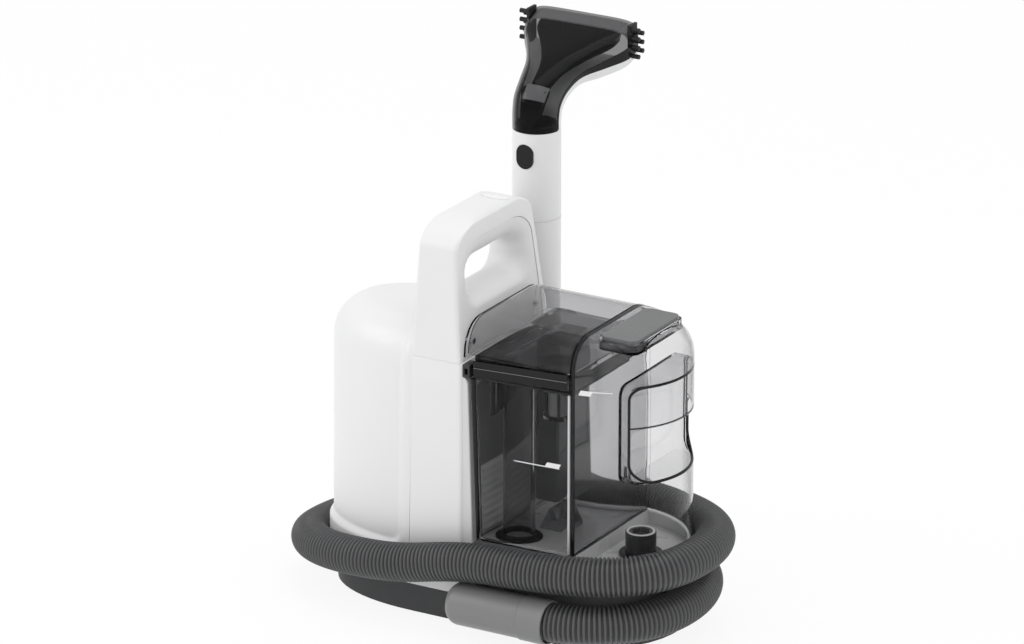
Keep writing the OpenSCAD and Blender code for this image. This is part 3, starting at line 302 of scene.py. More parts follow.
def cut(ob, *cutters, operation="DIFFERENCE", angle=32):
    """Applies boolean cuts to a piece and removes their cutters."""
    for c in cutters:
        m = ob.modifiers.new("cut", "BOOLEAN")
        m.object = c
        m.operation = operation
        m.solver = "EXACT"
    depsgraph = bpy.context.evaluated_depsgraph_get()
    mesh = bpy.data.meshes.new_from_object(ob.evaluated_get(depsgraph))
    ob.modifiers.clear()
    ob.data = mesh
    for c in cutters:
        bpy.data.objects.remove(c)
    shade(mesh, angle)


def dress(ob, body, material, slot, *nodes):
    """Gives a piece its material and its body, and hides the CAD nodes that it stands in for. Its slot is
    not used.
    """
    ob.data.materials.clear()
    ob.data.materials.append(material)
    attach(ob, body)
    if nodes:
        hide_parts(*nodes)


# ---------------- materials

def feed(nt, node, inputs):
    """Gives each of a node's named inputs its value, or a link from another node's socket."""
    for key, value in inputs.items():
        if isinstance(value, bpy.types.NodeSocket):
            nt.links.new(value, node.inputs[key])
        else:
            node.inputs[key].default_value = value


def add_node(nt, kind, inputs):
    node = nt.nodes.new(kind)
    feed(nt, node, inputs)
    return node


def new_material(name):
    """A material with its tree, its output, its shader and the coordinates for its textures."""
    m = bpy.data.materials.new(name)
    m.use_nodes = True
    nt = m.node_tree
    nt.nodes.clear()
    out = nt.nodes.new("ShaderNodeOutputMaterial")
    shader = nt.nodes.new("ShaderNodeBsdfPrincipled")
    nt.links.new(shader.outputs[0], out.inputs[0])
    coords = nt.nodes.new("ShaderNodeTexCoord")
    return m, nt, out, shader, coords.outputs["Object"]


def noise(nt, coords, scale, detail, stretch=None):
    if stretch:
        coords = add_node(nt, "ShaderNodeMapping", {"Vector": coords, "Scale": stretch}).outputs[0]
    inputs = {"Vector": coords, "Scale": scale, "Detail": detail}
    return add_node(nt, "ShaderNodeTexNoise", inputs).outputs["Fac"]


def ranged(nt, source, low, high, from_low=0.3, from_high=0.7):
    inputs = {"Value": source, "From Min": from_low, "From Max": from_high, "To Min": low, "To Max": high}
    return add_node(nt, "ShaderNodeMapRange", inputs).outputs[0]


def tinted(nt, source, dark, light):
    ramp = add_node(nt, "ShaderNodeValToRGB", {0: source})
    for stop, colour, place in zip(ramp.color_ramp.elements, (dark, light), (0.3, 0.7)):
        stop.color = (*colour, 1)
        stop.position = place
    return ramp.outputs[0]


def bumped(nt, height, strength, distance, **more):
    """The normal of a bump, with its distance in metres."""
    inputs = {"Height": height, "Strength": strength, "Distance": distance, **more}
    return add_node(nt, "ShaderNodeBump", inputs).outputs[0]


def reckoned(nt, operation, first, second):
    """A Math node over two sockets or numbers."""
    n = add_node(nt, "ShaderNodeMath", {0: first, 1: second})
    n.operation = operation
    return n.outputs[0]


def mixed(nt, blend, inputs):
    """A Mix node over the colours A and B."""
    n = nt.nodes.new("ShaderNodeMix")
    n.data_type = "RGBA"
    n.blend_type = blend
    feed(nt, n, inputs)
    return n.outputs["Result"]


def mix_shaders(nt, out, share, first, second):
    """Sends two shaders to the output: the first where share is 0, the second where it is 1."""
    both = add_node(nt, "ShaderNodeMixShader", {0: share, 1: first.outputs[0], 2: second.outputs[0]})
    nt.links.new(both.outputs[0], out.inputs[0])


def moulded(name, colour, rough, spread, grain, grain_depth, vary, spec=0.5, wave=0.0):
    """Moulded plastic: fine grain, slight flow of tone and of gloss, and a slow wave where asked for."""
    m, nt, _, shader, coords = new_material(name)
    under = {"Normal": bumped(nt, noise(nt, coords, 16.0, 1.0), wave, 0.001)} if wave else {}
    feed(nt, shader, {
        "Base Color": tinted(nt, noise(nt, coords, 9.0, 2.0), tuple(max(0, c - vary) for c in colour),
                             tuple(min(1, c + vary) for c in colour)),
        "Roughness": ranged(nt, noise(nt, coords, 38.0, 4.0), rough - spread, rough + spread),
        "Normal": bumped(nt, noise(nt, coords, grain, 2.0), grain_depth, 0.0002, **under),
        "Specular IOR Level": spec})
    return m


def painted_shade_from(m, attribute, low, high):
    """Paints shade into a material's colour by a value that its mesh carries, from low at 0 to high at 1.
    """
    nt = m.node_tree
    shader = next(n for n in nt.nodes if n.type == "BSDF_PRINCIPLED")
    plain = shader.inputs["Base Color"].links[0].from_socket
    band = nt.nodes.new("ShaderNodeAttribute")
    band.attribute_name = attribute
    factor = ranged(nt, band.outputs["Fac"], low, high, 0.0, 1.0)
    feed(nt, shader, {"Base Color": mixed(nt, "MULTIPLY", {"Factor": 1.0, "A": plain, "B": factor})})


def clear_plastic(name, tint, edge=0.45, rough=0.03, lit=0.93, ior=1.18, ripple=0.02):
    """Smoked clear plastic: darker where seen edge on, slightly uneven, and letting its light through."""
    m, nt, out, shader, coords = new_material(name)
    flow = tinted(nt, noise(nt, coords, 14.0, 2.0), tuple(c * 0.985 for c in tint),
                  tuple(min(1, c * 1.015) for c in tint))
    facing = add_node(nt, "ShaderNodeLayerWeight", {"Blend": 0.5}).outputs["Facing"]
    darker = mixed(nt, "MIX", {"Factor": ranged(nt, facing, 0.0, 1.0, 0.55, 0.97), "A": flow,
                               "B": (*(c * edge for c in tint), 1)})
    feed(nt, shader, {
        "Transmission Weight": 1.0, "IOR": ior, "Base Color": darker,
        "Roughness": ranged(nt, noise(nt, coords, 55.0, 4.0), rough * 0.6, rough * 1.4),
        "Normal": bumped(nt, noise(nt, coords, 20.0, 1.0), ripple, 0.001)})
    through = add_node(nt, "ShaderNodeBsdfTransparent", {"Color": (lit, lit, lit, 1)})
    rays = nt.nodes.new("ShaderNodeLightPath").outputs
    easy = reckoned(nt, "MAXIMUM", rays["Is Shadow Ray"], rays["Is Diffuse Ray"])
    mix_shaders(nt, out, easy, shader, through)
    return m


def brushed(name, colour, rough):
    """Metal with fine streaks along z."""
    m, nt, _, shader, coords = new_material(name)
    streak = noise(nt, coords, 60.0, 3.0, stretch=(1, 1, 18))
    feed(nt, shader, {
        "Metallic": 1.0, "Base Color": tinted(nt, streak, tuple(c * 0.88 for c in colour), colour),
        "Roughness": ranged(nt, streak, rough - 0.08, rough + 0.1),
        "Normal": bumped(nt, streak, 0.08, 0.0003)})
    return m


# after the colour: roughness and its spread, scale and depth of the grain, spread of tone, specular level
white = moulded("white_plastic", (0.80, 0.80, 0.805), 0.36, 0.04, 2600, 0.05, 0.008, 0.45, wave=0.03)
white_inner = moulded("white_inner_plastic", (0.78, 0.78, 0.785), 0.44, 0.04, 2600, 0.06, 0.008, 0.4)
# painted shade: a darker copy of the white plastic for the bulkhead, for the shade it lies in beside the
# column
white_painted_shade = moulded("bulkhead_painted_shade_plastic", (0.66, 0.66, 0.665), 0.44, 0.04, 2600, 0.06, 0.008, 0.4)
white_plain = moulded("white_button_plastic", (0.86, 0.86, 0.86), 0.28, 0.03, 2600, 0.03, 0.006, 0.5)
# print, and the painted highlight on the tray's rim
print_and_highlight = moulded("print_and_painted_highlight_white", (0.82, 0.82, 0.82), 0.5, 0.03, 3000, 0.05, 0.006, 0.3)
pan_grey = moulded("pan_plastic", (0.066, 0.067, 0.070), 0.55, 0.05, 1500, 0.25, 0.006, 0.22)
deck_grey = moulded("deck_plastic", (0.12, 0.121, 0.125), 0.42, 0.05, 1500, 0.2, 0.008, 0.45)
elbow_skin = moulded("elbow_plastic", (0.205, 0.206, 0.209), 0.36, 0.05, 1600, 0.14, 0.006, 0.5)
hose_skin = moulded("hose_plastic", (0.085, 0.086, 0.089), 0.42, 0.06, 1300, 0.16, 0.005, 0.45)
# painted shade: the hose darkens to 0.3 of its colour in the grooves between its ribs
painted_shade_from(hose_skin, "rib_painted_shade", 0.3, 1.0)
dark_part = moulded("dark_plastic", (0.022, 0.022, 0.024), 0.34, 0.05, 1900, 0.1, 0.003, 0.5)
black_rubber = moulded("black_rubber", (0.014, 0.014, 0.015), 0.6, 0.06, 1400, 0.3, 0.003, 0.3)
board_green = moulded("circuit_board", (0.03, 0.14, 0.07), 0.45, 0.05, 900, 0.2, 0.01)
box_dark = moulded("separator_plastic", (0.052, 0.053, 0.055), 0.35, 0.05, 1600, 0.06, 0.006, 0.4)
key_grey = moulded("release_key_plastic", (0.115, 0.117, 0.12), 0.3, 0.04, 1800, 0.05, 0.006, 0.5)
# painted shade on the sheet behind the dirty tank, and a painted highlight on the lid's joint line
shade_and_highlight_grey = moulded("painted_shade_and_highlight_grey", (0.17, 0.172, 0.177), 0.45, 0.05, 1500, 0.1, 0.01, 0.35)
floor_grey = moulded("tank_floor_plastic", (0.33, 0.332, 0.337), 0.3, 0.05, 1600, 0.05, 0.01, 0.4)
sill_grey = moulded("mouth_sill_plastic", (0.5, 0.5, 0.505), 0.4, 0.04, 1800, 0.05, 0.01, 0.4)
tray_grey = moulded("tray_plastic", (0.60, 0.602, 0.607), 0.3, 0.05, 1600, 0.05, 0.01, 0.5)
louvre_grey = moulded("louvre_plastic", (0.66, 0.662, 0.667), 0.42, 0.05, 1500, 0.1, 0.01, 0.4)
# dark parts, and painted shade on the dark lines where clear rims and corners are seen edge on
dark_and_edge_shade = moulded("dark_plastic_and_edge_shade", (0.010, 0.010, 0.011), 0.16, 0.03, 1900, 0.03, 0.002, 0.22)
# the light vent, and painted highlights on the dirty tank's corner and far foot
light_and_highlight = moulded("light_vent_and_highlight_plastic", (0.62, 0.62, 0.63), 0.14, 0.03, 1900, 0.03, 0.01, 0.6)
steel = brushed("screw_steel", (0.62, 0.62, 0.64), 0.32)
motor_steel = brushed("motor_steel", (0.55, 0.56, 0.58), 0.4)
tank_clear = clear_plastic("tank_clear", (0.87, 0.87, 0.875), edge=0.10)
dirty_clear = clear_plastic("dirty_clear", (0.74, 0.74, 0.745), edge=0.10)
smoke_plate = clear_plastic("smoke_plate", (0.97, 0.97, 0.97), edge=0.85, lit=0.97, ior=1.12)
smoke_hood = clear_plastic("smoke_hood", (0.70, 0.70, 0.71), edge=0.4, lit=0.85)
smoke_pipe = clear_plastic("smoke_pipe", (0.66, 0.66, 0.67), edge=0.10)
smoke_lid = clear_plastic("smoke_lid", (0.36, 0.36, 0.37), rough=0.08, lit=0.5)
smoke_deep = clear_plastic("smoke_deep", (0.26, 0.26, 0.27), edge=0.2)
smoke_nozzle = clear_plastic("smoke_nozzle", (0.24, 0.24, 0.245), edge=0.25, rough=0.0, lit=0.9, ripple=0.0)

# ---------------- floor

FLOOR_HALF = 14000.0
FLOOR_GLOW = 0.9


def studio_floor():
    """A pale floor that keeps the shadow, and that the camera, gloss and glass see nearly white."""
    floor = box("studio_floor", (-FLOOR_HALF, -FLOOR_HALF, -12), (FLOOR_HALF, FLOOR_HALF, -0.2))
    m, nt, out, shader, coords = new_material("floor_paper")
    feed(nt, shader, {
        "Base Color": tinted(nt, noise(nt, coords, 5.0, 4.0), (0.94, 0.94, 0.94), (0.95, 0.95, 0.95)),
        "Roughness": 0.9, "Specular IOR Level": 0.1})
    rays = nt.nodes.new("ShaderNodeLightPath").outputs
    seen = reckoned(nt, "MAXIMUM", rays["Is Camera Ray"], rays["Is Glossy Ray"])
    seen = reckoned(nt, "MAXIMUM", seen, rays["Is Transmission Ray"])
    glow = add_node(nt, "ShaderNodeEmission", {"Color": (1, 1, 1, 1), "Strength": 1.0})
    mix_shaders(nt, out, reckoned(nt, "MULTIPLY", seen, FLOOR_GLOW), shader, glow)
    floor.data.materials.append(m)


studio_floor()

# ---------------- sizes that several pieces share

PAN_TOP = 30.0
COLUMN_H = 243.0
HALF_W = 75.0
FRONT_X = 26.0
REAR_TOP_X = -23.5
REAR_LOW_X = -27.5
WAND_Y = 99.0
WAND_R = 21.4
END_ROUND = 2.2     # exponent of the rounded ends, in plan

# ---------------- hose

HOSE_R = 17.3
HOSE_BORE = 13.8
RIB_DEPTH = 1.6
RIB_PITCH = 3.9
RIB_SHAPE = (1.45, 0.85, 0.15, 0.0, 0.15, 0.85)     # how far each ring of a rib stands in, in rib depths
HOSE_SIDES = 44
BORE_STEP = 24      # the bore has one ring for this many outer ones
HOSE_SIDE = 94.0
HOSE_START = 93.0
TURN_X = 116.0
TURN_A = 94.0
REAR_X = -25.0
LOBE_A = 136.5
TOP_X = 60.0
TOP_A = 163.0
TOP_ROUND = END_ROUND + 0.4
BEND_R = 58.0
HOSE_END = 195.0
RISE = [31.4, 31.4, 37, 36.5, 33, 56, 68.5, 73, 83, 81]     # height at the ends of the legs

# from the elbow once round the base, then up over the first turn and round the front again
LEGS = [
    [(HOSE_START, -HOSE_SIDE), (TURN_X, -HOSE_SIDE)],
    oval_arc(TURN_X, TURN_A, HOSE_SIDE, END_ROUND, -90, 90, 48),
    [(TURN_X, HOSE_SIDE), (REAR_X, HOSE_SIDE)],
    oval_arc(REAR_X, LOBE_A, HOSE_SIDE, END_ROUND, 90, 180, 30),
    oval_arc(REAR_X, LOBE_A, HOSE_SIDE, END_ROUND, 180, 270, 30),
    [(mix(REAR_X, FRONT_X, i / 5), -HOSE_SIDE) for i in range(6)],
    [(mix(FRONT_X, TOP_X, i / 5), -HOSE_SIDE) for i in range(6)],
    oval_arc(TOP_X, TOP_A, HOSE_SIDE, TOP_ROUND, -90, 0, 30),
    oval_arc(TOP_X, TOP_A, HOSE_SIDE, TOP_ROUND, 0, 90, 30),
]
route = []
for k, leg in enumerate(LEGS):
    climb = [(x, y, mix(RISE[k], RISE[k + 1], i / (len(leg) - 1))) for i, (x, y) in enumerate(leg)]
    route += climb[1:] if route else climb
turns_end = route[-1][2]


def bend_point(t):
    """A point of the quarter turn up into the wand."""
    return (BEND_R * (1 - math.sin(t)), mix(HOSE_SIDE, WAND_Y, (1 - math.cos(2 * t)) / 2),
            turns_end + BEND_R * (1 - math.cos(t)))


route += [bend_point(math.radians(7.5 * i)) for i in range(13)] + [(0, WAND_Y, HOSE_END)]


def along(points, spacing):
    """Points about a spacing apart along a line, and its length."""
    length = marks_along(points)[-1]
    return [Vector(p) for p in even_points(points, round(length / spacing))], length


def relaxed(points, reach, rounds):
    """The line smoothed by running means that leave its ends in place."""
    pts = [p.copy() for p in points]
    for _ in range(rounds):
        new = [p.copy() for p in pts]
        for i in range(len(pts)):
            w = min(reach, i, len(pts) - 1 - i)
            if w:
                new[i] = sum((pts[j] for j in range(i - w, i + w + 1)), Vector()) / (2 * w + 1)
        pts = new
    return pts


def tube_frames(points):
    """Each point with two directions across the line there, which don't twist along it."""
    frames = []
    side = Vector((0, 0, 1))
    for i, p in enumerate(points):
        a, b = points[max(0, i - 3)], points[min(len(points) - 1, i + 3)]
        t = (b - a).normalized()
        side = (side - side.dot(t) * t).normalized()
        frames.append((p, side, t.cross(side)))
    return frames


def tube_ring(tube_frame, radius):
    p, u, w = tube_frame
    return [tuple(p + radius * (math.cos(a) * u + math.sin(a) * w)) for a in round_angles(HOSE_SIDES)]


rough_line, _ = along(route, 3.0)
smooth_line = [tuple(p) for p in relaxed(rough_line, 5, 3)]
hose_line, hose_length = along(smooth_line, RIB_PITCH / len(RIB_SHAPE))
frames = tube_frames(hose_line)
rings = [tube_ring(f, HOSE_R - RIB_DEPTH * RIB_SHAPE[i % len(RIB_SHAPE)]) for i, f in enumerate(frames)]
bore = [f for i, f in enumerate(frames) if i % BORE_STEP == 0 or i == len(frames) - 1]
rings += [tube_ring(f, HOSE_BORE) for f in reversed(bore)]
hose = loft("ribbed_hose", rings, loop=True, angle=None)
# painted shade for the material: 1 on the top of a rib and 0 in the groove, where the colour darkens
rib_painted_shade = hose.data.attributes.new("rib_painted_shade", "FLOAT", "POINT")
for i, item in enumerate(rib_painted_shade.data):
    ring = i // HOSE_SIDES
    item.value = 1 - RIB_SHAPE[ring % len(RIB_SHAPE)] / RIB_SHAPE[0] if ring < len(frames) else 0.5
dress(hose, "base", hose_skin, "hose_grey", "hose")

# ---------------- lobe

LOBE_LEN = 143.0
LOBE_H = 265.0
LOBE_ROUND = 35.0       # rounding of the shoulder
LOBE_TAPER = 1.5        # how much the wall leans in between TAPER_FROM and the shoulder
TAPER_FROM = 69.0
LOBE_CROWN = 0.9
LOBE_GAP = 0.25         # between the lobe and the column
SKIRT_TOP = 60.0
SKIRT_STEP = 3.6        # depth of the panel above the skirt
SKIRT_RAMP = 8.0
PANEL_SIDE = 7.0        # margin beside the column
PANEL_CORNER = 15.0
LOBE_STEPS = 176
SHOULDER = LOBE_H - LOBE_ROUND


def rear_at(z):
    return mix(REAR_LOW_X, REAR_TOP_X, (z - PAN_TOP) / (COLUMN_H - PAN_TOP))


perimeter = marks_along(oval_arc(0, 115, HALF_W, END_ROUND, 90, 270, LOBE_STEPS))


def panel_depth(s, z):
    """How far the wall stands back inside the panel that starts above the skirt and beside the column."""
    d_edge = min(s, perimeter[-1] - s) - PANEL_SIDE
    d_low = z - SKIRT_TOP
    if d_edge < PANEL_CORNER and d_low < PANEL_CORNER:
        d = PANEL_CORNER - math.hypot(PANEL_CORNER - d_edge, PANEL_CORNER - d_low)
    else:
        d = min(d_edge, d_low)
    return SKIRT_STEP * smooth_step(d / SKIRT_RAMP)


def lobe_ring(z, inset, panel_z):
    """The lobe's outline at a height, with the panel's depth of panel_z."""
    x0 = rear_at(min(z, COLUMN_H)) - LOBE_GAP
    ring = []
    for i in range(LOBE_STEPS + 1):
        t = math.radians(mix(90, 270, i / LOBE_STEPS))
        total = inset + panel_depth(perimeter[i], panel_z)
        ring.append((x0 + (LOBE_LEN - total + x0) * signed_power(settled(math.cos(t)), 2 / END_ROUND),
                     (HALF_W - total) * signed_power(math.sin(t), 2 / END_ROUND), z))
    return ring


# rings lie close where the wall steps back above the skirt
heights = ([PAN_TOP + 0.6, 40, 50, 56, 58, 59] + [SKIRT_TOP + 0.75 * i for i in range(24)]
           + [mix(78.5, SHOULDER, i / 12) for i in range(13)])
rings = [lobe_ring(PAN_TOP, 0.7, PAN_TOP)]
for z in heights:
    rings.append(lobe_ring(z, LOBE_TAPER * max(0, (z - TAPER_FROM) / (SHOULDER - TAPER_FROM)), z))
for i in range(1, 21):
    t = math.radians(90 * i / 20)
    rings.append(lobe_ring(SHOULDER + LOBE_ROUND * math.sin(t),
                           LOBE_TAPER + LOBE_ROUND * (1 - math.cos(t)), SHOULDER))
top_ring = rings[-1]
flat_x = top_ring[0][0]
for share in (0.93, 0.8, 0.6, 0.4, 0.2, 0.02):
    rings.append([(flat_x + (x - flat_x) * share, y * share, z + LOBE_CROWN * (1 - share ** 2))
                  for x, y, z in top_ring])
dress(loft("lobe_casing", rings, angle=40), "base", white, "white_shell", "lobe_shell")

# ---------------- column and bulkhead

COLUMN_R = 3.4
COLUMN_REAR_R = 0.7
DECK_FRONT = FRONT_X + 12.5
BULK_LOW_X = FRONT_X + 10
BULK_HIGH_X = FRONT_X + 5.5
BULK_FOOT = 66.5
BULK_TOP = COLUMN_H - 12
BULK_RX = 5
BULK_RZ = 8


def column_ring(z, inset=0.0):
    x0, x1, w = rear_at(z) + inset, FRONT_X - inset, HALF_W - inset
    r0, r1 = COLUMN_REAR_R, COLUMN_R
    pts = corner_loop(((x0 + r0, r0 - w), r0, r0, 180, 4), ((x1 - r1, r1 - w), r1, r1, 270, 8),
                      ((x1 - r1, w - r1), r1, r1, 0, 8), ((x0 + r0, w - r0), r0, r0, 90, 4))
    return [(x, y, z) for x, y in pts]


rings = ([column_ring(PAN_TOP, 0.6), column_ring(PAN_TOP + 0.6)]
         + [column_ring(mix(PAN_TOP + 0.6, COLUMN_H - 0.35, i / 8)) for i in range(1, 9)]
         + [column_ring(COLUMN_H - 0.1, 0.18), column_ring(COLUMN_H, 0.45)])
column = loft("column_casing", rings, angle=40)
bulk_outline = ([(FRONT_X - 1, PAN_TOP), (DECK_FRONT - 0.1, PAN_TOP),
                 (DECK_FRONT - 0.1, BULK_FOOT - 0.5), (BULK_LOW_X, BULK_FOOT)]
                + arc((BULK_HIGH_X - BULK_RX, BULK_TOP - BULK_RZ), BULK_RX, BULK_RZ, 0, 90, 8)
                + [(FRONT_X - 1, BULK_TOP)])
bulkhead = prism("column_bulkhead", bulk_outline, 2 - HALF_W, HALF_W - 2, axis="y", edge=1.6)
dress(column, "base", white, "white_shell", "column_shell")
# the bulkhead in the darker white, as painted shade
dress(bulkhead, "base", white_painted_shade, "white_shell")

# ---------------- handle

HANDLE_TOP = 361.0
LEG_TOP = 337.0
BOW_H = 24.0
BOW_CROWN = 3.0
HANDLE_HALF = 66.5
HANDLE_EDGE = 4.2
GRIP_FRONT = 16.5
GRIP_REAR = -22.0
INSERT_RIM = 8.0
INSERT_TOP = 343.7
INSERT_RY = 34.0
INSERT_RZ = 24.0
INSERT_STEP = 0.6       # how far the grip insert stands back from the casing
INSERT_FOOT = COLUMN_H + 0.02
PARTING_GAP = 0.45
SHOULDER_Z = INSERT_TOP - INSERT_RZ
OPENING_RIM = 1.5
OPENING_LOW = 282.0
LIP_R = 24.0
SADDLE_LOW = 293.0
GRIP_LOW = 323.0
SWELL = 17.0            # how much narrower the opening is at its waist
WAIST_R = 12.0
WAIST_RY = 16.0
BUTTON_X = -1.0
BUTTON_Y = 29.0
BUTTON_HALF = 12.8
BUTTON_R = 7.0
BUTTON_FLOOR = 355.0
BUTTON_GAP = 0.3
BUTTON_PROUD = 0.2
CUT_X = 60.0            # reach of the cutters along x and along y
CUT_Y = 80.0


def handle_y(z):
    """The handle's half-width at a height: two legs that lean in, then a bow."""
    leg = max(0.0, (z - COLUMN_H) / (LEG_TOP - COLUMN_H))
    if leg < 1:
        return mix(HALF_W, HANDLE_HALF, leg ** 1.4)
    return HANDLE_HALF * max(0.0, 1 - ((z - LEG_TOP) / BOW_H) ** 2) ** (1 / 3)


def handle_front(z):
    return mix(FRONT_X - 1, GRIP_FRONT, min(1, (z - COLUMN_H) / (LEG_TOP - COLUMN_H)))


def handle_rear(z):
    return mix(REAR_TOP_X, GRIP_REAR, min(1, (z - COLUMN_H) / (LEG_TOP - COLUMN_H)))


def handle_ring(z, inset=0.0):
    """The handle's section at a height. Its edges round off from the column's to its own above z 255."""
    front, rear = handle_front(z) - inset, handle_rear(z) + inset
    crown = max(0.0, 1 - (HANDLE_TOP - z) / BOW_CROWN)
    hx = (front - rear) / 2 * math.sqrt(max(0.012, 1 - crown ** 1.6))
    hy = max(10, handle_y(z)) - inset
    r = min(mix(COLUMN_R, HANDLE_EDGE, smooth_step((z - 255) / 40)), hx - 0.3)
    return [(x, y, z) for x, y in round_rect((front + rear) / 2, 0.0, hx, hy, r, 8)]


leg_heights = [COLUMN_H + 0.4] + [mix(COLUMN_H, LEG_TOP, i / 14) for i in range(1, 15)]
bow_heights = [mix(LEG_TOP, HANDLE_TOP - BOW_CROWN, math.sin(math.radians(5 * i))) for i in range(1, 19)]
back_shares = (0.12, 0.25, 0.4, 0.55, 0.7, 0.82, 0.91, 0.97, 1.0)
back_heights = [HANDLE_TOP - BOW_CROWN * (1 - u) for u in back_shares]


def handle_blank(name):
    """The whole handle before its opening is cut."""
    rings = [handle_ring(COLUMN_H, 0.45), handle_ring(COLUMN_H + 0.15, 0.15)]
    return loft(name, rings + [handle_ring(z) for z in leg_heights + bow_heights + back_heights], angle=50)


def button_oval(grow=0.0):
    half, r = BUTTON_HALF + grow, BUTTON_R + grow
    return [(BUTTON_X + half * math.cos(a), BUTTON_Y + r * math.sin(a)) for a in round_angles(48)]


INSERT_SIDE = handle_y(SHOULDER_Z) - INSERT_RIM


def insert_outline(inset, low):
    """The grip insert's outline in y and z, from a height up."""
    edge = [(handle_y(z) - INSERT_RIM - inset, z) for z in (mix(low, SHOULDER_Z, i / 8) for i in range(9))]
    edge += arc((INSERT_SIDE - INSERT_RY, SHOULDER_Z), INSERT_RY - inset, INSERT_RZ - inset, 5, 90, 18)
    return edge + [(-y, z) for y, z in reversed(edge[:-1])]


shell = handle_blank("handle_casing")
cut(shell, prism("cutter", insert_outline(0, COLUMN_H - 3), -CUT_X, CUT_X, axis="x"),
    prism("button_cutter", button_oval(BUTTON_GAP), BUTTON_FLOOR, HANDLE_TOP + 10), angle=44)
soften(shell, 0.45, segments=2, limit=60)
dress(shell, "base", white, "white_shell", "handle_shell")

# the grip insert, whose opening narrows from a lip on each face to a waist in the middle
lip_half = INSERT_SIDE - OPENING_RIM
opening_lip = mouth_outline(lip_half, OPENING_LOW, INSERT_TOP - OPENING_RIM, LIP_R,
                            INSERT_RY - OPENING_RIM, INSERT_RZ - OPENING_RIM)
opening_waist = mouth_outline(lip_half - SWELL, SADDLE_LOW, GRIP_LOW, WAIST_R, WAIST_RY, WAIST_R)


def opening_ring(s, beyond=0.0):
    """The opening's outline at a share through the handle, from -1 at its rear to 1 at its front."""
    ring = []
    for a, b in zip(opening_lip, opening_waist):
        y, z = (mix(p, q, math.sqrt(1 - s * s)) for p, q in zip(a, b))
        x0, x1 = handle_rear(z) + INSERT_STEP, handle_front(z) - INSERT_STEP
        ring.append((mix(x0, x1, (1 + s) / 2) + beyond, y, z))
    return ring


flank = [(REAR_TOP_X + INSERT_STEP, INSERT_FOOT), (FRONT_X - 1 - INSERT_STEP, INSERT_FOOT),
         (GRIP_FRONT - INSERT_STEP, LEG_TOP), (GRIP_FRONT - INSERT_STEP, HANDLE_TOP),
         (GRIP_REAR + INSERT_STEP, HANDLE_TOP), (GRIP_REAR + INSERT_STEP, LEG_TOP)]
insert = prism("handle_grip_insert", insert_outline(PARTING_GAP, INSERT_FOOT), -CUT_X, CUT_X, axis="x")
rings = [opening_ring(math.sin(math.radians(a))) for a in range(-90, 91, 6)]
through = loft("cutter", [opening_ring(-1, -8)] + rings + [opening_ring(1, 8)])
cut(insert, prism("cutter", flank, -CUT_Y, CUT_Y, axis="y"), operation="INTERSECT")
cut(insert, through, angle=36)
soften(insert, 0.9, limit=50)
dress(insert, "base", white_inner, "white_shell", "handle_insert")

# the button takes the handle's crown as its top
button = prism("power_button_cap", button_oval(), BUTTON_FLOOR + 1.4, HANDLE_TOP + 2)
crown_form = handle_blank("cutter")
for v in crown_form.data.vertices:
    v.co.z += BUTTON_PROUD * MM
cut(button, crown_form, operation="INTERSECT", angle=44)
soften(button, 0.5, segments=2, limit=50)
dress(button, "power_button", white_plain, "white_shell", "power_button")

# ---------------- tanks: edges, outlines and level marks

TANK_HALF = 69.0
DIRTY_HALF = 73.5
DIRTY_LOW = 82.0
RIM_Z = 232.0
DIRTY_LEFT_LOW = 39.4
DIRTY_LEFT_HIGH = 35.0
DIRTY_RIGHT = 130.3
ARCH_TOP = 280.0
ARCH_RX = 26.0
ARCH_RZ = 28.0
CLEAN_X = 130.9
CLEAN_LEN = 73.0
TRAY_TOP = 84.0
POCKET_HALF = 53.0
POCKET_LOW = 153.0
POCKET_HIGH = 243.0
POCKET_LOW_R = 19.0
POCKET_TOP_R = 10.0
LIP_LOW = 205.5


def dirty_left(z):
    return mix(DIRTY_LEFT_LOW, DIRTY_LEFT_HIGH, (z - DIRTY_LOW) / (RIM_Z - DIRTY_LOW))


def dirty_wall_y(x):
    """The dirty tank's near wall, which leans in towards the partition."""
    return -mix(DIRTY_HALF, TANK_HALF, (x - DIRTY_LEFT_HIGH) / (DIRTY_RIGHT - DIRTY_LEFT_HIGH))


def clean_wall_y(x):
    """The clean tank's near wall, which bends round the front."""
    return -TANK_HALF * math.sqrt(max(0.0, 1 - ((x - CLEAN_X) / CLEAN_LEN) ** 2))


def clean_wall_x(y):
    return CLEAN_X + CLEAN_LEN * math.sqrt(max(0.0, 1 - (y / TANK_HALF) ** 2))


# painted shade: a dark line of the clean tank against the hood, up the near side and over the arch, where
# the partition walls are seen edge on; and its clear end
EDGE_LINE_R = 1.7
FAR_TURN = 13       # the point of the far arc where the dark part ends
edge_line_x = CLEAN_X + EDGE_LINE_R + 0.1
arch_arc = arc((ARCH_RX - TANK_HALF, ARCH_TOP - ARCH_RZ), ARCH_RX - EDGE_LINE_R, ARCH_RZ - EDGE_LINE_R,
               180, 90, 18)
near_arc = [(edge_line_x, y, z) for y, z in arch_arc]
far_arc = [(x, -y, z) for x, y, z in reversed(near_arc)]
near_edge_line = [(edge_line_x, EDGE_LINE_R - TANK_HALF, mix(TRAY_TOP, ARCH_TOP - ARCH_RZ, i / 8)) for i in range(8)]
far_edge_line = [(x, -y, z) for x, y, z in reversed(near_edge_line)]
far_end = [(x - 0.9, y + 0.6, z) for x, y, z in far_arc[FAR_TURN:] + far_edge_line]
dress(bead("clean_tank_edge_shade", near_edge_line + near_arc + far_arc[:FAR_TURN + 1], EDGE_LINE_R, flat=0.75),
      "clean_tank", dark_and_edge_shade, "smoke_dark")
dress(bead("clean_tank_far_flange", far_end, 0.8), "clean_tank", tank_clear, "smoke_clear")

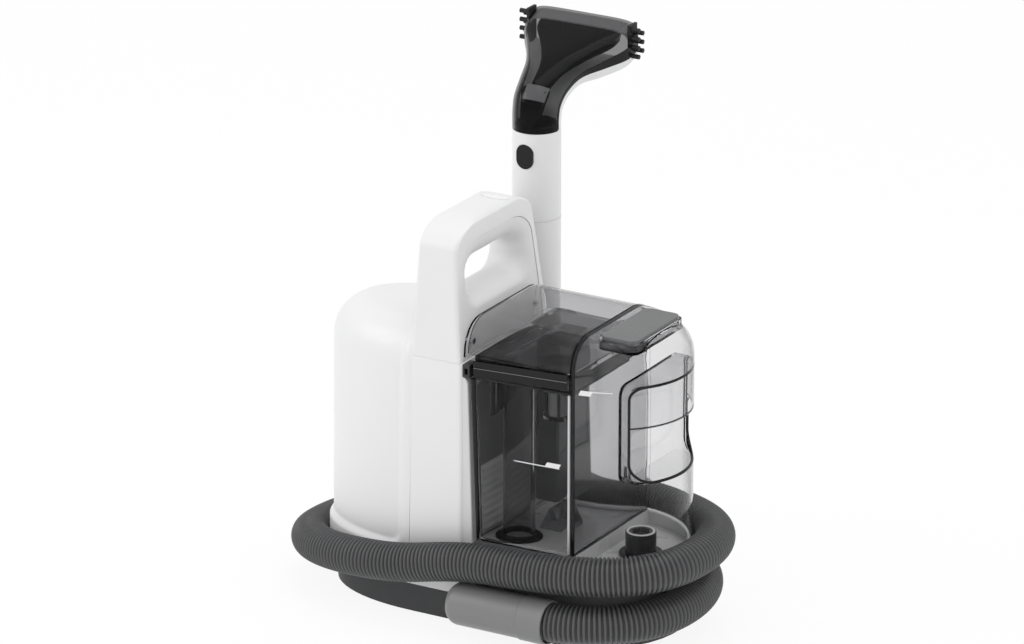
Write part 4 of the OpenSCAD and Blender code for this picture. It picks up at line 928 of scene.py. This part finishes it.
# corner strips of the dirty tank: painted shade in a dark one at the column, where the clear corner is seen
# edge on, and a painted highlight in a light one at the partition
LEFT_EDGE_IN = 1.7
RIGHT_EDGE_IN = 1.9
corner_heights = [mix(DIRTY_LOW + 4, RIM_Z - 0.5, i / 10) for i in range(11)]
left_edge_shade = [(dirty_left(z) + LEFT_EDGE_IN, LEFT_EDGE_IN - DIRTY_HALF, z) for z in corner_heights]
right_highlight = [(DIRTY_RIGHT - RIGHT_EDGE_IN, RIGHT_EDGE_IN - TANK_HALF, z) for z in corner_heights]
dress(bead("dirty_tank_left_edge_shade", left_edge_shade, 1.7, taper=1.45), "dirty_tank", dark_and_edge_shade, "smoke_dark")
dress(bead("dirty_tank_right_highlight", right_highlight, 1.2), "dirty_tank", light_and_highlight, "smoke_clear")

# painted shade: a dark outline of the finger pocket's mouth on the rounded end, and the lower line of its
# lip, where the clear rims are seen edge on
pocket_mid = (POCKET_LOW + POCKET_HIGH) / 2
mouth_high = (POCKET_HIGH - POCKET_LOW) / 2 - 1
mouth = mouth_outline(POCKET_HALF - 1.6, -mouth_high, mouth_high, POCKET_LOW_R, POCKET_TOP_R,
                      POCKET_TOP_R, 10, 8)
mouth = even_points(mouth + mouth[:1], 160)[:-1]
pocket_line = [(clean_wall_x(y) - 1.3, y, z + pocket_mid) for y, z in mouth]
dress(bead("finger_pocket_edge_shade", pocket_line, 1.25, closed=True), "clean_tank", dark_and_edge_shade, "smoke_dark")
lip_ys = [mix(2 - POCKET_HALF, POCKET_HALF - 2, i / 40) for i in range(41)]
lip_line = [(clean_wall_x(y) - 1.1, y, LIP_LOW) for y in lip_ys]
dress(bead("finger_pocket_lip_edge_shade", lip_line, 0.65), "clean_tank", dark_and_edge_shade, "smoke_dark")

# painted highlights: light lines on the rim of the tray inside the clean tank and on the far foot of the
# dirty tank, where these catch the light
rim_ys = [TANK_HALF * math.sin(math.radians(mix(-88, 88, i / 60))) for i in range(61)]
rim_line = [(clean_wall_x(y) - 3.2, y * 0.95, TRAY_TOP - 1.0) for y in rim_ys]
dress(bead("tray_rim_highlight", rim_line, 1.5), "clean_tank", print_and_highlight, "smoke_clear")
foot_line = [(mix(62, 128, i / 6), 56, DIRTY_LOW + 4.4) for i in range(7)]
dress(bead("dirty_tank_far_foot_highlight", foot_line, 1.8), "dirty_tank", light_and_highlight, "smoke_clear")

# level mark of the dirty tank: a bare tab on a line
DIRTY_MARK_Z = 163.4
TAB_H = 4.6
TAB_SLANT = 2.2
dress(wall_strip("dirty_level_line", 76.5, 120.5, DIRTY_MARK_Z, DIRTY_MARK_Z + 0.9, dirty_wall_y),
      "dirty_tank", print_and_highlight, "white_shell")
dress(wall_strip("dirty_level_tab", 106.5, 119.8, DIRTY_MARK_Z + 0.9, DIRTY_MARK_Z + TAB_H, dirty_wall_y,
                 slant=TAB_SLANT), "dirty_tank", print_and_highlight, "white_shell")

# dark sides of the dirty tank's lid, with a painted highlight in the light line along its joint, and a
# light vent
LID_X0 = 37.5
LID_X1 = 127.5
LID_RISE = 2.2
LID_SIDE_X = 129.5
LID_STRIPS = (
    ("lid_near_band", 234.1, 241.3, 0.35, dark_and_edge_shade, "smoke_dark"),
    ("lid_near_highlight_line", 241.4, 241.9, 0.3, shade_and_highlight_grey, "smoke_clear"),
    ("lid_near_rim", 242.2, 250.4 - LID_RISE, 0.2, dark_and_edge_shade, "smoke_dark"),
)
for name, low, high, proud, material, slot in LID_STRIPS:
    dress(wall_strip(name, LID_X0, LID_X1, low, high, dirty_wall_y, proud=proud, rise=LID_RISE),
          "dirty_lid", material, slot)
dress(box("lid_side_band", (LID_SIDE_X, -64, 234.6), (LID_SIDE_X + 1, 62, 245), 0.2),
      "dirty_lid", dark_and_edge_shade, "smoke_dark")
dress(box("lid_side_vent", (LID_SIDE_X, -23, 246.4), (LID_SIDE_X + 1, 2, 249.4), 0.3),
      "dirty_lid", light_and_highlight, "smoke_clear")

# level mark of the clean tank
CLEAN_MARK_Z = 234.6
dress(wall_strip("clean_level_tab", 138.4, 149.0, CLEAN_MARK_Z, CLEAN_MARK_Z + TAB_H, clean_wall_y,
                 slant=TAB_SLANT), "clean_tank", print_and_highlight, "white_shell")
dress(wall_strip("clean_level_line", 150.5, 167.0, CLEAN_MARK_Z + 3.7, CLEAN_MARK_Z + 4.5, clean_wall_y),
      "clean_tank", print_and_highlight, "white_shell")

# ---------------- inside the tanks

# painted shade: a dark grey sheet on the bulkhead's face behind the dirty tank, where the bulkhead lies in
# shade
SHADE_SHEET_LOW = 68.0
SHADE_SHEET_HIGH = BULK_TOP - 9
SHADE_SHEET_HALF = 66.0
SHADE_SHEET_T = 0.5


def bulk_x(z):
    return mix(BULK_LOW_X, BULK_HIGH_X, (z - BULK_FOOT) / (BULK_TOP - BULK_RZ - BULK_FOOT))


shade_sheet_low_x, shade_sheet_high_x = bulk_x(SHADE_SHEET_LOW), bulk_x(SHADE_SHEET_HIGH)
shade_sheet_outline = [(shade_sheet_low_x - 1, SHADE_SHEET_LOW), (shade_sheet_low_x + SHADE_SHEET_T, SHADE_SHEET_LOW),
                 (shade_sheet_high_x + SHADE_SHEET_T, SHADE_SHEET_HIGH), (shade_sheet_high_x - 1, SHADE_SHEET_HIGH)]
dress(prism("bulkhead_shade_sheet", shade_sheet_outline, -SHADE_SHEET_HALF, SHADE_SHEET_HALF, axis="y"),
      "base", shade_and_highlight_grey, "dark_pan")

# separator: a tall dark box under the lid, with a sunk panel in its near side and one in its front
SEP_X0 = 60.0
SEP_X1 = 83.0
SEP_Y0 = -6.0
SEP_Y1 = 46.0
SEP_LOW = 106.0
SEP_TOP = 246.0
SINK = 1.2
sep_rings = []
for z, inset in ((SEP_LOW, 1.2), (SEP_LOW + 1.2, 0.0), (SEP_TOP, 0.0)):
    section = round_rect((SEP_X0 + SEP_X1) / 2, (SEP_Y0 + SEP_Y1) / 2, (SEP_X1 - SEP_X0) / 2 - inset,
                         (SEP_Y1 - SEP_Y0) / 2 - inset, 2.5, 5)
    sep_rings.append([(x, y, z) for x, y in section])
separator = loft("separator_tower", sep_rings)
cut(separator, box("cutter", (SEP_X0 + 3, SEP_Y0 - 3, 136), (SEP_X1 - 3, SEP_Y0 + SINK, 196)),
    box("cutter", (SEP_X1 - SINK, SEP_Y0 + 5, 150), (SEP_X1 + 3, SEP_Y1 - 5, 200)))
soften(separator, 0.5, segments=2, limit=50)
dress(separator, "dirty_lid", box_dark, "smoke_dark", "separator_box")

# floor of the dirty tank, and the light rim of the clean tank's valve
VALVE_X = 162.0
floor_plate = prism("dirty_tank_floor", round_rect(84.0, 0.0, 44.0, 68.0, 5.0, 6), DIRTY_LOW + 2.05,
                    DIRTY_LOW + 2.6, edge=0.2)
dress(floor_plate, "dirty_tank", floor_grey, "smoke_dark")
valve_rim = bead("valve_rim", circle((VALVE_X, 0, 91.6), 11.5, 48), 1.1, closed=True, flat=0.6)
dress(valve_rim, "clean_tank", louvre_grey, "smoke_clear")

# rounded combs that hang from the lid beside the separator, and ribs near its left corner
COMB_TOP = SEP_TOP
for k in range(5):
    comb = prism("lid_comb_%d" % k, round_rect(84.5 + 4.2 * k, 4.0, 1.1, 9.0, 1.0, 4), 218, COMB_TOP)
    dress(comb, "dirty_lid", smoke_deep, "smoke_dark")
for k in range(4):
    rib_outline = round_rect(48.0 + 5.0 * k, -54.0, 0.9, 8.0, 0.8, 4)
    rib = prism("lid_rib_%d" % k, rib_outline, mix(196, 212, k / 3), COMB_TOP)
    dress(rib, "dirty_lid", smoke_deep, "smoke_dark")

# springs under the release button
SPRING_X = 162.0
SPRING_YS = (-29.0, 23.0)
SPRING_LOW = 272.4
SPRING_HIGH = 276.7
SPRING_R = 3.5
SPRING_TURNS = 3.5
SPRING_STEPS = 84
for i, spring_y in enumerate(SPRING_YS):
    winding = []
    for k in range(SPRING_STEPS + 1):
        a = 2 * math.pi * SPRING_TURNS * k / SPRING_STEPS
        winding.append((SPRING_X + SPRING_R * math.cos(a), spring_y + SPRING_R * math.sin(a),
                        mix(SPRING_LOW, SPRING_HIGH, k / SPRING_STEPS)))
    coil = bead("release_spring_%d" % i, winding, 0.35, sides=8)
    dress(coil, "clean_tank", steel, "metal", "release_springs")
    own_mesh(coil)

# ---------------- nozzle

WAND_TOP = 403.0
NOZZLE_BASE = WAND_TOP + 0.3
NOZZLE_WALL = 1.8
MOUTH_OUT = 85.0
MOUTH_TOP = 485.0
MOUTH_LOW = 451.0
MOUTH_HALF = 53.0
# each station holds its upper point and its lower point (y from the wand's axis, z), its half-width and the
# exponent of its section
STATIONS = [
    (-WAND_R, NOZZLE_BASE, WAND_R, NOZZLE_BASE, WAND_R, 2.0),
    (-WAND_R, WAND_TOP + 17, WAND_R, WAND_TOP + 5, WAND_R, 2.0),
    (-17, WAND_TOP + 33, WAND_R + 1.6, WAND_TOP + 13, WAND_R + 0.2, 2.1),
    (-2, WAND_TOP + 46, 29, WAND_TOP + 21, WAND_R + 1.1, 2.4),
    (20, MOUTH_TOP - 25, 40, MOUTH_LOW - 19, mix(WAND_R, MOUTH_HALF, 0.17), 3.0),
    (45, MOUTH_TOP - 15, 54, MOUTH_LOW - 15, mix(WAND_R, MOUTH_HALF, 0.56), 4.0),
    (66, MOUTH_TOP - 7, 70, MOUTH_LOW - 9, mix(WAND_R, MOUTH_HALF, 0.96), 5.0),
    (MOUTH_OUT, MOUTH_TOP, MOUTH_OUT, MOUTH_LOW - 3, MOUTH_HALF, 6.0),
]


def smooth_station(u):
    """The station at u, from 0 at the wand to 1 at the mouth, on a curve through all of them."""
    last = len(STATIONS) - 1
    k = min(int(u * last), last - 1)
    t = u * last - k
    p0, p1 = STATIONS[max(0, k - 1)], STATIONS[k]
    p2, p3 = STATIONS[k + 1], STATIONS[min(last, k + 2)]
    out = []
    for a, b, c, d in zip(p0, p1, p2, p3):
        out.append(0.5 * (2 * b + (c - a) * t + (2 * a - 5 * b + 4 * c - d) * t ** 2
                          + (3 * b - a - 3 * c + d) * t ** 3))
    return out


def station_arc(u, inset, t0, t1, steps, narrow=1.0):
    """Part of the duct's section at u. Angle 0 is at its right side and 90 at the top."""
    ty, tz, ly, lz, half, square = smooth_station(u)
    cy, cz = (ty + ly) / 2, (tz + lz) / 2
    height = math.hypot(ty - ly, tz - lz) / 2
    uy, uz = (ty - ly) / (2 * height), (tz - lz) / (2 * height)
    out = []
    for i in range(steps + 1):
        t = math.radians(mix(t0, t1, i / steps))
        x = (half - inset) * narrow * signed_power(settled(math.cos(t)), 2 / square)
        h = (height - inset) * signed_power(settled(math.sin(t)), 2 / square)
        out.append((x, WAND_Y + cy + uy * h, cz + uz * h))
    return out


def duct_band(name, low, high, outer, inner, t0, t1, steps=40, stops=44):
    """A band of the duct from low to high along it, between two insets and two angles."""
    rings = []
    for i in range(stops + 1):
        u = mix(low, high, i / stops)
        rings.append(station_arc(u, outer, t0, t1, steps) + station_arc(u, inner, t0, t1, steps)[::-1])
    return loft(name, rings, angle=40)


dress(duct_band("nozzle_cover_clear", 0.0, 1.0, 0.0, NOZZLE_WALL, 0, 180),
      "nozzle", smoke_nozzle, "smoke_dark", "nozzle_cover")
dress(duct_band("nozzle_back_white", 0.0, 1.0, 0.0, NOZZLE_WALL, 180, 360),
      "nozzle", white, "white_shell", "nozzle_shell")

# dark seam between both halves, which stands slightly proud along the sides
SEAM_PROUD = 0.25
for side, t0 in (("left", 176.5), ("right", -3.5)):
    seam = duct_band("nozzle_seam_" + side, 0.02, 1.0, -SEAM_PROUD, 1.2 - SEAM_PROUD, t0, t0 + 5, steps=4)
    dress(seam, "nozzle", dark_and_edge_shade, "smoke_dark")

# the dark funnel that the cover shows, which opens out towards the mouth
FUNNEL_LOW = 0.4
FUNNEL_HIGH = 0.93
FUNNEL_STOPS = 30
funnel = []
for i in range(FUNNEL_STOPS + 1):
    u = mix(FUNNEL_LOW, FUNNEL_HIGH, i / FUNNEL_STOPS)
    open_out = mix(0.42, 0.86, smooth_step((u - FUNNEL_LOW) / (FUNNEL_HIGH - FUNNEL_LOW)))
    upper = station_arc(u, NOZZLE_WALL + 2.2, 25, 155, 20, open_out)
    lower = station_arc(u, NOZZLE_WALL + 4, 25, 155, 20, open_out * 0.96)
    funnel.append(upper + [(x, y + 1.5, z - 7) for x, y, z in reversed(lower)])
dress(loft("nozzle_funnel", funnel, angle=40), "nozzle", dark_and_edge_shade, "smoke_dark")

# grey sill of the mouth and spray block, both under the cover
dress(duct_band("nozzle_mouth_sill", 0.90, 0.995, NOZZLE_WALL + 0.6, NOZZLE_WALL + 2.0, 12, 168, 30, 6),
      "nozzle", sill_grey, "smoke_clear")
dress(duct_band("nozzle_spray_block", 0.27, 0.385, NOZZLE_WALL + 1.6, NOZZLE_WALL + 4.5, 44, 108, 12, 6),
      "nozzle", sill_grey, "smoke_clear")

# joint line of the wand's two tubes
JOINT_Z = 322.6
dress(bead("wand_joint_line", circle((0, WAND_Y, JOINT_Z), WAND_R, 72), 0.25, closed=True, sides=6),
      "wand", louvre_grey, "hose_grey")

# ---------------- the CAD nodes that stay


def shading_group():
    """Geometry nodes that merge doubled points and shade smoothly, but for edges over 28 degrees."""
    group = bpy.data.node_groups.new("merge_and_shade", "GeometryNodeTree")
    for way in ("INPUT", "OUTPUT"):
        group.interface.new_socket("Geometry", in_out=way, socket_type="NodeSocketGeometry")
    start = group.nodes.new("NodeGroupInput")
    merged = add_node(group, "GeometryNodeMergeByDistance", {0: start.outputs[0], "Distance": 2e-6})
    smooth = add_node(group, "GeometryNodeSetShadeSmooth", {0: merged.outputs[0]})
    smooth.domain = "FACE"
    fold = group.nodes.new("GeometryNodeInputMeshEdgeAngle")
    wide = group.nodes.new("FunctionNodeCompare")
    wide.data_type = "FLOAT"
    wide.operation = "GREATER_THAN"
    feed(group, wide, {"A": fold.outputs["Unsigned Angle"], "B": math.radians(28)})
    sharp = group.nodes.new("GeometryNodeSetShadeSmooth")
    sharp.domain = "EDGE"
    feed(group, sharp, {0: smooth.outputs[0], "Selection": wide.outputs[0], "Shade Smooth": False})
    add_node(group, "NodeGroupOutput", {0: sharp.outputs[0]})
    return group


merge_and_shade = shading_group()


def keep(node, material, rim):
    """A CAD node that shows as it is, with its material, smooth shading and rims rounded by rim."""
    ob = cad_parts[node]
    ob.data.materials.clear()
    ob.data.materials.append(material)
    m = ob.modifiers.new("shade", "NODES")
    m.node_group = merge_and_shade
    if rim:
        b = ob.modifiers.new("rim", "BEVEL")
        b.width = rim * MM
        b.segments = 2
        b.limit_method = "ANGLE"
        b.angle_limit = math.radians(40)


# by material, the width of each node's rounded rims
KEPT_NODES = (
    (black_rubber, {"rubber_feet": 0.5, "intake_seal": 0.4, "lid_gasket": 0, "bristle_left": 0.3,
                    "bristle_right": 0.3}),
    (pan_grey, {"base_pan": 0, "exhaust_grille": 0.3, "wand_cradle": 0.4, "motor_mount": 0,
                "fan_housing": 0, "suction_duct": 0, "water_pump": 0.4}),
    (deck_grey, {"tank_deck": 0}),
    (steel, {"case_screws": 0, "plate_screws": 0.2, "trigger_valve": 0.2, "motor_shaft": 0}),
    (motor_steel, {"motor_can": 0}),
    (dark_part, {"cord_gland": 0.3, "side_latches": 0.4, "valve_body": 0.4}),
    (louvre_grey, {"column_louvre": 0}),
    (elbow_skin, {"hose_elbow": 0, "hose_collar": 0.6, "wand_sleeve": 0.3}),
    (smoke_plate, {"cover_plate": 0}),
    (dirty_clear, {"dirty_tank": 0}),
    (tank_clear, {"clean_tank": 0, "finger_pocket": 0}),
    (smoke_pipe, {"intake_pipe": 0}),
    (smoke_deep, {"tank_baffle": 0.4, "float_cage": 0}),
    (smoke_lid, {"dirty_lid": 0}),
    (smoke_hood, {"hood": 0, "release_well": 0}),
    (key_grey, {"float_body": 0.5, "release_button": 0.8}),
    (tray_grey, {"clean_tank_tray": 0}),
    (white, {"wand_lower": 0.5, "wand_upper": 0.5}),
    (white_plain, {"valve_stem": 0.3}),
    (white_inner, {"impeller": 0}),
    (dark_and_edge_shade, {"trigger": 0.8, "nozzle_collar": 0, "spray_tip": 0.4}),
    (board_green, {"control_board": 0.2}),
)
for material, rims in KEPT_NODES:
    for node, rim in rims.items():
        keep(node, material, rim)
